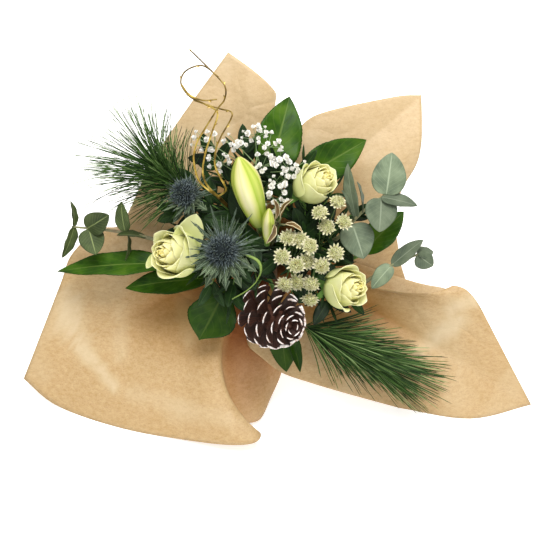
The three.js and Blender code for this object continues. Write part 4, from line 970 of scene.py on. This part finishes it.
def through(points, count):
    """Points along a smooth curve through the given ones."""
    points = [Vector(p) for p in points]
    ends = [points[0] * 2 - points[1], *points, points[-1] * 2 - points[-2]]
    made = []
    for k in range(count + 1):
        place = k / count * (len(points) - 1)
        i = min(int(place), len(points) - 2)
        s = place - i
        a, b, c, d = ends[i : i + 4]
        square, cube = 2 * a - 5 * b + 4 * c - d, 3 * b - a - 3 * c + d
        made.append(0.5 * (2 * b + (c - a) * s + square * s * s + cube * s**3))
    return made


# Needles: deep green, no two alike, paler at the foot and yellowed at the point. The twig is scaly brown bark.
needle_skin = two_toned(
    "pine_needle_waxy", "#35622c", 0.6,
    [(0.0, "#b9c39a"), (0.15, "#e9f2e4"), (0.9, "#ffffff"), (1, "#d8cfa0")],
    [(0.0, "#172810"), (0.4, "#2a4718"), (0.8, "#4c6c2e"), (1, "#8ba268")], 1, Specular_IOR_Level=0.25,
)
twig_bark = bark("pine_twig_bark", "#3b2a1c", "#7a5f42", 0.85)

for name, pine in PINES.items():
    draw = draws(pine["seed"])
    spray = Growth()
    twig = through(pine["twig"], TWIG_STEPS)
    frames = frames_along(twig, UP)
    sag = Vector(pine["sag"])
    stem(spray, name, twig[0], frames[0][1], 2, lift=30, ease=30, kind=1)
    tube(spray, twig, lambda s: 2.1 - 0.8 * s, 8, UP, kind=1)
    for k in range(pine["needles"]):
        place = (0.12 + 0.86 * (k + 0.5) / pine["needles"]) * TWIG_STEPS
        f = frames[min(TWIG_STEPS, int(round(place)))]
        on = place / TWIG_STEPS
        for pair in (0, 1):
            ahead = pine["sweep"] * (pine["open"] + (1 - pine["open"]) * on) * draw(*pine["fan"])
            out = outward(f, k * GOLDEN + 0.1 * pair, ahead).normalized()
            reach = draw(*pine["length"]) * (0.62 + 0.38 * on)
            root = twig[int(place)].lerp(twig[min(TWIG_STEPS, int(place) + 1)], place % 1) + out * 1.1
            tip = root + out * reach + sag * reach
            tip.z = max(tip.z, SURFACE + CLEAR - tip.y)
            bend = (f[1] * 0.07 + set_in((Vector(), *f[1:]), draw(-0.05, 0.05), draw(-0.05, 0.05))) * reach
            spike(spray, root, tip, pine["thick"], Vector((0.35, 0.2, 0.9)), draw(0, 1), bend=bend, steps=5)
    spray.piece(name + "_spray", [needle_skin, twig_bark], name)

# ---- the eucalyptus ----
# Three twigs of florist's eucalyptus. Round to lance-shaped leaves in pairs, grey-green under a bloom of wax,
# with a thin dark rim and a pale rib. The left twig is older and more olive.
# Each leaf: its foot, its tip, its half width and the way it faces.
EUCALYPTUS = {
    "eucalyptus_left": {
        "twig": [(-108, 8, 78), (-150, 17, 78), (-197, 22, 75)],
        "leaves": [
            ((-143, 17, 78), (-146, 46, 92), 8, (-0.3, -0.5, 0.8)),
            ((-141, 15, 77), (-141, -12, 82), 8, (1, 0, 0.1)),
            ((-182, 20, 76), (-158, 33, 90), 12, (-0.3, -0.3, 0.9)),
            ((-180, 20, 76), (-172, -6, 82), 13, (0.2, -0.2, 1)),
            ((-195, 22, 75), (-197, 48, 76), 6.5, (1, 0, 0.35)),
            ((-195, 22, 75), (-208, -9, 70), 8, (0.8, -0.3, 0.55)),
            ((-122, 11, 78), (-150, 14, 90), 8, (0.1, 0.85, 0.4)),
        ],
    },
    "eucalyptus_right_upper": {
        "twig": [(76, 16, 92), (92, 34, 100), (118, 54, 108)],
        "leaves": [
            ((117, 52, 108), (122, 93, 118), 17, (0, -0.1, 1)),
            ((112, 50, 108), (147, 40, 112), 8, (0, 0.5, 0.8)),
            ((112, 49, 107), (110, 16, 116), 16, (0.1, 0.3, 1)),
            ((94, 34, 101), (86, 64, 118), 8, (0.9, 0.3, 0.3)),
            ((86, 28, 98), (72, 55, 122), 7, (0.2, 0.7, 0.6)),
            ((88, 30, 98), (80, 82, 120), 8, (-0.6, 0, 0.8)),
            ((84, 24, 96), (95, -10, 108), 17, (0, 0.3, 0.9)),
        ],
    },
    "eucalyptus_right_lower": {
        "twig": [(98, -34, 78), (122, -18, 86), (150, -6, 90)],
        "leaves": [
            ((124, -17, 87), (104, -40, 86), 9, (-0.2, 0.2, 1)),
            ((124, -17, 87), (154, 7, 94), 8, (0.2, 0.5, 0.8)),
            ((149, -6, 90), (165, -18, 92), 10, (0, -0.3, 1)),
            ((149, -6, 90), (166, -4, 84), 7, (0, 0.5, 0.8)),
        ],
    },
}


def blade_skin(name, blade, rib, rim, roughness, veins=9, dim="#b5b5b5", rim_from=0.93, **sockets):
    """A leaf's skin: patches of some 18 mm, a rib, side veins that slant out to the rim, and the rim's colour."""
    made = material(name, blade[1], roughness, **sockets)
    marks, across, along, shade = grown(made)
    away = add(made, "Math", [across], operation="ABSOLUTE")
    slant = add(made, "Math", [away, -0.35, along], operation="MULTIPLY_ADD")
    turns = add(made, "Math", [slant, veins], operation="MULTIPLY")
    cell = add(made, "Math", [turns], operation="FRACT")
    centred = add(made, "Math", [cell, 0.5], operation="SUBTRACT")
    line = add(made, "Math", [centred], operation="ABSOLUTE")
    side_vein = add(made, "MapRange", Value=line, From_Min=0.0, From_Max=0.09, To_Min=1, To_Max=0)
    mid_vein = add(made, "MapRange", Value=away, From_Min=0.02, From_Max=0.07, To_Min=1, To_Max=0)
    patches = add(made, "TexNoise", Vector=add(made, "TexCoord").outputs["Object"], Scale=55, Detail=3)
    tone = add(made, "ValToRGB", Fac=patches, stops=[(0.3, blade[0]), (0.5, blade[1]), (0.72, blade[2])])
    fine = add(made, "MixRGB", Fac=side_vein, Color1=tone, Color2=linear(rib))
    faint = add(made, "MixRGB", Color1=tone, Color2=fine, Fac=0.3)
    ribbed = add(made, "MixRGB", Fac=mid_vein, Color1=faint, Color2=linear(rib))
    at_rim = add(made, "MapRange", Value=away, From_Min=rim_from, From_Max=rim_from + 0.06)
    rimmed = add(made, "MixRGB", Fac=at_rim, Color1=ribbed, Color2=linear(rim))
    shades = add(made, "ValToRGB", Fac=shade, stops=[(0.0, dim), (1, "#ffffff")])
    shaded = add(made, "MixRGB", Color1=rimmed, Color2=shades, blend_type="MULTIPLY", Fac=0.8)
    relief = add(made, "Math", [side_vein, mid_vein], operation="ADD")
    raised = add(made, "Bump", Height=relief, Strength=0.35, Distance=0.0004, invert=True)
    add(made, "shader", Base_Color=shaded, Normal=raised)
    return made


# The right leaves: matt grey-green under a bloom of wax, with a thin dark rim. The left ones: olive and duller.
GREYS = ("#55634f", "#6f7d62", "#8a9779")
waxy_grey = blade_skin(
    "eucalyptus_waxy_leaf", GREYS, "#9aa68a", "#5f6f55", 0.65, dim="#8a8a8a", Specular_IOR_Level=0.3)
OLIVES = ("#34421f", "#46552a", "#5c6c3b")
waxy_olive = blade_skin("eucalyptus_olive_leaf", OLIVES, "#8d9a5f", "#3a4426", 0.6, Specular_IOR_Level=0.3)
eucalyptus_twig = bark("eucalyptus_twig", "#5c4a35", "#8a8f62", 0.6)
for name, branch in EUCALYPTUS.items():
    draw = draws(len(name))
    sprig = Growth()
    twig = through(branch["twig"], 16)
    stem(sprig, name, twig[0], (twig[1] - twig[0]).normalized(), 1.9, kind=1)
    tube(sprig, twig, lambda s: 1.9 - 1.1 * s, 8, UP, kind=1)
    for k, (foot, tip, half, face) in enumerate(branch["leaves"]):
        leaf(sprig, foot, tip, face, half, 0.5, 0.78, 0.1, 0.2, wave=0.06, rows=24, cols=10,
             shade=draw(0.1, 0.7) if k else 1, curl=draw(-0.08, 0.08))
    skin = waxy_olive if name == "eucalyptus_left" else waxy_grey
    sprig.piece(name + "_twig", [skin, eucalyptus_twig], name, thick=0.4)

# ---- the gypsophila ----
# A cloud of small double white florets, 7 mm across, on threads that branch again and again.
GYPSOPHILA_HUBS = [
    (11, 45, 115), (-47, 84, 110), (13, 62, 115), (-4, 80, 118), (26, 76, 111),
    (-62, 106, 106), (16, 86, 115), (-30, 102, 111), (3, 99, 115), (-12, 112, 112),
]
FLORETS_A_HUB = 10
HUB_REACH = 10


def ruffled_floret(growth, at, way, size, draw):
    """A double floret: three layers of small notched petals round its middle."""
    f = frame_of(at, way, Vector((1, 0.2, 0)))
    for layer in range(3):
        count = 6 - layer
        for k in range(count):
            a = 2 * pi * k / count + layer * 0.6 + draw(-0.2, 0.2)
            out = outward(f, a, 0.25 + 0.45 * layer, 1 - 0.3 * layer)
            leaf(growth, at + out * 0.3, at + out * size, way, size * 0.42, 0.9, 0.35, -0.12, 0.15, wave=0.2,
                 rows=4, cols=2, stalk=0.2, shade=draw(0.3, 1))


# Florets: pure white and matt, with petals of 2 mm, the brightest spots of the bouquet. Their threads are a
# soft pale green.
white_petal = material("gypsophila_petal", "#fbfaf6", 0.7, Specular_IOR_Level=0.2)
speck = add(white_petal, "TexNoise", Vector=add(white_petal, "TexCoord").outputs["Object"], Scale=500)
tone = add(white_petal, "ValToRGB", Fac=speck, stops=[(0.3, "#dcd8cc"), (0.5, "#f8f6f0")])
add(white_petal, "shader", Base_Color=tone)
thread_green = bark("gypsophila_thread", "#5d7a4a", "#9cb27e", 0.5)

draw = draws(55)
cloud = Growth()
fork = Vector(HEADS["gypsophila"])
top = fork + Vector((6, 28, 22))
stem(cloud, "gypsophila", fork, Vector((0, 0.5, 0.86)), 1.6, kind=1)
tube(cloud, [fork, top], lambda s: 1.2 - 0.6 * s, 6, kind=1)
for i, hub in enumerate(GYPSOPHILA_HUBS):
    hub = Vector(hub)
    root = fork.lerp(top, (i + 0.5) / len(GYPSOPHILA_HUBS))
    tube(cloud, curve([root, root.lerp(hub, 0.5) - UP * 4, hub], 8), lambda s: 0.6 - 0.2 * s, 5, kind=1)
    for k in range(FLORETS_A_HUB):
        a = k * GOLDEN + draw(0, 0.6)
        at = hub + Vector((cos(a), sin(a), 0)) * HUB_REACH * draw(0.2, 1.3) + UP * draw(1, 10)
        start = hub.lerp(root, draw(0.02, 0.25))
        tube(cloud, [start, start.lerp(at, 0.5) - UP, at], lambda s: 0.32, 4, kind=1)
        ruffled_floret(cloud, at, (at - start).normalized(), draw(1.9, 3.9), draw)
cloud.piece("gypsophila_spray", [white_petal, thread_green], "gypsophila")

# ---- the masterwort ----
# Two stalks with heads of tiny green-white stars, each star with narrow papery points and a buff middle.
MASTERWORT = {
    "masterwort_left": [
        (32, 7, 124), (41, 1, 129), (15, -9, 131), (28, -17, 129), (17, -35, 125), (29, -33, 118),
        (21, 9, 120), (38, -13, 119),
    ],
    "masterwort_right": [
        (68, 43, 124), (51, 33, 125), (74, 24, 121), (66, -5, 124), (53, -17, 123), (43, -34, 122),
        (42, -49, 114), (58, 20, 114),
    ],
}
RINGS = [(15, 9.6, 0.5), (12, 8.2, 2.6)]  # bracts, reach and rise
STARS = 26
# Stalks: darker than the stars, so that these seem to float. Bracts and florets: papery, green-white to buff.
star_stalk = bark("masterwort_stalk", "#2c431c", "#567238", 0.55)
papery = two_toned(
    "masterwort_papery_bract", "#dfe0b8", 0.7,
    [(0.0, "#8a8f4c"), (0.3, "#b9ba7e"), (0.65, "#dbd6b6"), (1, "#e6e0c8")],
    [(0.0, "#b0a468"), (0.25, "#d6dfb0"), (0.7, "#f6f6e0"), (1, "#ffffff")], 0.85, Specular_IOR_Level=0.25,
)
for name, heads in MASTERWORT.items():
    draw = draws(len(name) * 7)
    fork = Vector(HEADS[name])
    way = Vector((0.1, 0, 1)).normalized()
    stars = Growth()
    stem(stars, name, fork, way, 1.6, kind=1)
    for k, at in enumerate(heads):
        at = Vector(at)
        start = fork - way * 1.4 * k
        tube(stars, curve([start, start.lerp(at, 0.5) - UP * 3, at], 7), lambda s: 0.7 - 0.15 * s, 6, kind=1)
        lean = at - fork
        f = frame_of(at, Vector((lean.x * 0.6, lean.y * 0.6, 30)).normalized(), Vector((1, 0, 0)))
        # two rings of pointed bracts hold the florets
        for ring, (count, reach, rise) in enumerate(RINGS):
            for m in range(count):
                out = outward(f, 2 * pi * (m + 0.5 * ring) / count + draw(-0.1, 0.1))
                tip = at + out * reach * draw(0.85, 1.08) + f[1] * (rise + draw(0.4, 2.2))
                leaf(stars, at + out * 0.6, tip, f[1] + out * -0.2, 1.25, 0.9, 0.6, -0.06, 0.3, rows=6, cols=2,
                     stalk=0.35, shade=draw(0.45, 1))
        for m in range(STARS):
            wide = 5.6 * sqrt((m + 0.3) / STARS)
            out = outward(f, m * GOLDEN)
            place = at + out * wide + f[1] * (5.6 - 0.075 * wide * wide)
            look = (f[1] * 5 + out * wide).normalized()
            tube(stars, [at, place], lambda s: 0.25, 3, kind=1)
            g = frame_of(place, look, Vector((0.3, 1, 0)))
            shade = draw(0, 0.9)
            for q in range(5):
                point = turned(g, 2 * pi * q / 5 + m, 1.7, 1.2)
                leaf(stars, place, point, look, 0.55, 0.6, 0.5, -0.1, 0.3, rows=3, cols=2, stalk=0.2, shade=shade)
            for q in range(3):
                tip = set_in(g, draw(-1.2, 1.2), draw(-1.2, 1.2), draw(1.8, 3.0))
                spike(stars, place, tip, 0.2, Vector((0.3, 0.9, 0.1)), draw(0.3, 1))
    stars.piece(name + "_stars", [papery, star_stalk], name)

# ---- the lemon leaves ----
# Large leathery leaves low in the bouquet. They are glossy, mid green with a paler rib, finely toothed, and
# a little waved at the edge.
LEMON_LEAVES = {
    "lemon_leaf_top": [((1, 73, 82), (22, 153, 75), 24, (0.1, -0.1, 1))],
    "lemon_leaf_upper_right": [((33, 71, 80), (99, 109, 80), 20, (0, -0.2, 1))],
    "lemon_leaf_right": [((98, -2, 84), (137, 37, 76), 16, (-0.2, 0.2, 1))],
    "lemon_leaf_left": [
        ((-98, -16, 70), (-214, -23, 60), 16, (0, 0.62, 0.78)),
        ((-60, -30, 78), (-144, -40, 66), 15, (0, 0.4, 0.9)),
    ],
    "lemon_leaf_bottom_left": [((-38, -31, 86), (-69, -92, 76), 26, (0.2, -0.2, 1))],
    "lemon_leaf_bottom": [
        ((12, -66, 74), (19, -125, 62), 15, (0, -0.3, 1)),
        ((22, -84, 70), (33, -125, 66), 7, (0.5, 0, 0.85)),
    ],
}
# Leathery leaf: full mid green with a soft gloss, a pale rib and faint side veins.
GREENS = ("#264a08", "#40690e", "#5c801c")
leathery = blade_skin(
    "lemon_leaf_leathery", GREENS, "#6c8838", "#2f500e", 0.42, veins=7, dim="#66704c", Specular_IOR_Level=0.13)
for name, leaves in LEMON_LEAVES.items():
    draw = draws(len(name) * 5)
    sprig = Growth()
    foot, tip = Vector(HEADS[name]), Vector(leaves[0][1])
    stem(sprig, name, foot, ((tip - foot).normalized() + UP * 0.25).normalized(), 1.8, kind=1)
    # the leaf at the bottom left is broadest near its tip
    early, late = (2.3, 1.4) if name == "lemon_leaf_bottom_left" else (0.75, 0.95)
    for start, end, half, face in leaves:
        start, end = Vector(start), Vector(end)
        tube(sprig, [foot, start], lambda s: 1.2, 6, kind=1)
        leaf(sprig, start - (end - start).normalized() * 5, end, face, half, early, late, 0.08, 0.2, wave=0.08,
             teeth=26, bite=0.035, rows=52, cols=12, stalk=1.0, shade=draw(0.2, 1) * ("bottom" not in name))
    sprig.piece(name + "_sprig", [leathery, green_stem], name, thick=0.45)

# ---- the gilded twigs ----
# Three thin curling willow twigs painted gold, with small buds at their joints. One of them splits at its loop.
GILDED_TWIGS = [
    [(-48, 50, 116), (-55, 54, 132), (-66, 65, 140), (-70, 83, 150), (-68, 95, 156), (-63, 105, 160),
     (-47, 129, 168), (-40, 138, 170), (-39, 149, 171), (-46, 159, 170), (-73, 186, 166)],
    [(-48, 50, 116), (-58, 60, 128), (-62, 72, 138), (-59, 90, 147), (-52, 110, 155), (-47, 127, 159),
     (-59, 135, 162), (-73, 142, 164), (-81, 154, 168), (-76, 165, 172), (-60, 169, 177), (-45, 158, 180)],
    [(-48, 50, 116), (-40, 56, 130), (-45, 67, 138), (-50, 79, 143), (-49, 93, 148), (-44, 105, 152),
     (-33, 126, 157), (-46, 132, 152), (-70, 140, 150)],
    [(-81, 153, 168), (-73, 143, 167), (-60, 138, 166), (-47, 139, 166)],
]
GILT_STEPS = 90
# Gold paint: rubbed and uneven over some 9 mm, pale gold low down, and olive-brown near the ends, where the
# bark shows through.
gold_paint = material("gold_painted_twig", "#b59a45", 0.42, Metallic=0.55)
marks, across, along, shade = grown(gold_paint)
speck = add(gold_paint, "TexNoise", Vector=add(gold_paint, "TexCoord").outputs["Object"], Scale=110, Detail=4)
golds = add(gold_paint, "ValToRGB", Fac=speck, stops=[(0.36, "#6e5f2c"), (0.5, "#ab9448"), (0.66, "#e0cf86")])
worn = add(gold_paint, "ValToRGB", Fac=along, stops=[
    (0.0, "#fff3c4"), (0.45, "#f2e4b0"), (0.6, "#a8976a"), (1, "#9a8a66"),
])
tone = add(gold_paint, "MixRGB", Color1=golds, Color2=worn, blend_type="MULTIPLY", Fac=0.9)
rough = add(gold_paint, "Bump", Height=speck, Strength=0.3, Distance=0.0003)
add(gold_paint, "shader", Base_Color=tone, Normal=rough)
gilt = Growth()
stem(gilt, "gilded", Vector(HEADS["gilded"]), Vector((-0.2, 0.2, 0.96)).normalized(), 2)
for k, twig in enumerate(GILDED_TWIGS):
    path = through(twig, GILT_STEPS)
    tube(gilt, path, lambda s: 1.0 - 0.25 * s, 8, Vector((0.9, -0.2, 0.4)))
    # buds at the joints, but only one on the short fork
    for i in range(9 + 4 * k, GILT_STEPS - 8, 11 if k < 3 else 50):
        way = (path[i + 1] - path[i]).normalized()
        side = way.cross(Vector((0.3, 0.1, 1))).normalized() * (1 if i % 2 else -1)
        spike(gilt, path[i], path[i] + way * 3.2 + side * 2.2, 0.8, Vector((0, 0.3, 1)))
gilt.piece("gilded_willow_twigs", [gold_paint], "gilded_twigs", crease=50)

# ---- the golden leaves ----
# Four small curled leaves, dried and bronzed, with a light edge.
GOLDEN_LEAVES = [
    ((7, 27, 132), (6, 46, 144), 4.6, (0.7, 0, 0.7)),
    ((13, 28, 132), (25, 46, 140), 4.6, (-0.8, 0.3, 0.5)),
    ((6, 22, 130), (-1, 4, 140), 5, (0.8, 0.2, 0.6)),
    ((17, 22, 128), (34, 15, 130), 4.6, (0, 0.75, 0.6)),
]
# Dried leaf: dull bronze, with a cream edge where it curls over.
BRONZES = ("#3f2f14", "#6a5127", "#937542")
bronzed = blade_skin(
    "bronzed_dried_leaf", BRONZES, "#86703f", "#e6d9ae", 0.5, rim_from=0.86, Specular_IOR_Level=0.3)
small_leaves = Growth()
fork = Vector(HEADS["golden"])
stem(small_leaves, "golden", fork, UP, 1.4, kind=1)
for k, (foot, tip, half, face) in enumerate(GOLDEN_LEAVES):
    tube(small_leaves, [fork, Vector(foot)], lambda s: 0.9 - 0.3 * s, 6, kind=1)
    leaf(small_leaves, foot, tip, face, half * 0.66, 0.7, 0.8, 0.16, 1.15, wave=0.12, rows=18, cols=10,
         shade=0.3 + 0.2 * k)
small_leaves.piece("bronzed_leaves", [bronzed, eucalyptus_twig], "golden_leaves", thick=0.35)

# ---- the dark leaves in the gaps ----
# Two low sprigs whose dark satin leaves close the gaps between the flowers; their near-black colour is painted
# shade.
GAP_LEAVES = {
    "gap_left": [
        ((-34, 62, 108), 11, (0, -0.2, 1)), ((-16, 82, 102), 11, (0, 0, 1)), ((-64, 30, 98), 11, (0.1, 0, 1)),
        ((-8, -22, 106), 9, (0, 0.1, 1)),
    ],
    "gap_right": [((26, 40, 104), 8, (0.3, 0, 1)), ((60, 30, 96), 8, (0, -0.1, 1))],
}
# Their side shoots end at these places, all round the middle of the bouquet.
SHOOTS = {
    "gap_left": [
        (-72, 66, 86), (-54, 92, 90), (-24, 98, 90), (-88, 38, 84), (-84, 18, 84), (-76, 0, 86), (-66, -22, 94),
        (-34, -36, 98), (-8, -44, 96), (-46, 44, 98), (-60, 20, 96), (-20, 4, 100), (-64, 48, 94), (-38, 66, 94),
        (-14, 62, 98), (-46, -14, 100), (-56, -36, 92), (-36, -50, 92),
    ],
    "gap_right": [
        (10, 82, 94), (36, 84, 90), (66, 58, 88), (86, 34, 86), (84, 6, 86), (72, -24, 90), (50, -48, 88),
        (24, -44, 96), (60, 16, 98), (8, -12, 104), (12, 52, 100), (38, 44, 94), (30, 14, 100), (46, -10, 96),
        (66, -6, 94), (50, 30, 96), (62, -56, 90), (82, -48, 88),
    ],
}
SHOOT_STEPS = 20
BARE_STEPS = 4
# Two loose blades of grass arch over the lower sea holly.
GRASS = [
    [(-22, 24, 84), (-34, -6, 118), (-22, -7, 138), (-9, -13, 141), (-6, -23, 138), (-11, -34, 134)],
    [(-11, -34, 134), (-20, -42, 132), (-34, -50, 126)],
]
# Dark satin leaf: the leaves' own deep green darkened to near black with painted shade, so that the gaps between
# the flowers look shaded and set off the pale flowers before it.
SHADE_DARK_GREENS = ("#0f210b", "#1d3812", "#2f511d")
painted_shade_satin = blade_skin("dark_satin_leaf", SHADE_DARK_GREENS, "#456030", "#172c0f", 0.5, dim="#666a62", Specular_IOR_Level=0.25)
# Fresh grass: a bright yellow-green, the lightest green low in the bouquet.
fresh_green = bark("fresh_grass_blade", "#4f6a22", "#8aa045", 0.5)
for name, leaves in GAP_LEAVES.items():
    draw = draws(len(name) * 11)
    sprig = Growth()
    fork = Vector(HEADS[name])
    stem(sprig, name, fork, UP, 1.7, kind=1)
    for k, (tip, half, face) in enumerate(leaves):
        leaf(sprig, fork - UP * 2, tip, face, half, 0.7, 0.8, 0.12, 0.2, wave=0.05, rows=22, cols=8, stalk=0.8,
             shade=0.2 + 0.25 * k)
    for k, blade in enumerate(GRASS if name == "gap_left" else []):
        fullness = 0.85 * (1 - k)
        tube(sprig, through(blade, 40),
             lambda s: 0.42 + fullness * sin(pi * max(0, s * 1.3 - 0.3)) ** 2, 8, kind=2)
    for end in SHOOTS[name]:
        end = Vector(end)
        shoot = curve([fork - UP * 3, fork.lerp(end, 0.5) - UP * 4, end], SHOOT_STEPS)
        frames = frames_along(shoot, UP)
        tube(sprig, shoot, lambda s: 1.1 - 0.6 * s, 6, kind=1)
        count = max(6, int((end - fork).length / 5))
        for k in range(count):
            f = frames[BARE_STEPS + round((SHOOT_STEPS - BARE_STEPS) * k / (count - 1))]
            a = (1 if k % 2 else -1) * draw(0.5, 1.1) * (k < count - 1)
            way = f[1] * cos(a) + f[3] * sin(a) + UP * draw(-0.05, 0.45)
            reach = draw(17, 29)
            face = Vector((draw(-0.4, 0.4), draw(-0.4, 0.4), 1))
            slim = draw(0, 1) < 0.45
            half = reach * (draw(0.05, 0.08) if slim else draw(0.17, 0.25))
            leaf(sprig, f[0], f[0] + way.normalized() * reach, face, half, 0.6, 0.8, draw(-0.05, 0.14), 0.25,
                 wave=0.05, rows=10, cols=4, stalk=0.4, shade=draw(0, 1))
    skins = [painted_shade_satin, green_stem, fresh_green]
    sprig.piece(name.replace("gap", "gap_sprig"), skins, name.replace("gap_", "gap_leaves_"), thick=0.3)

low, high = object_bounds()
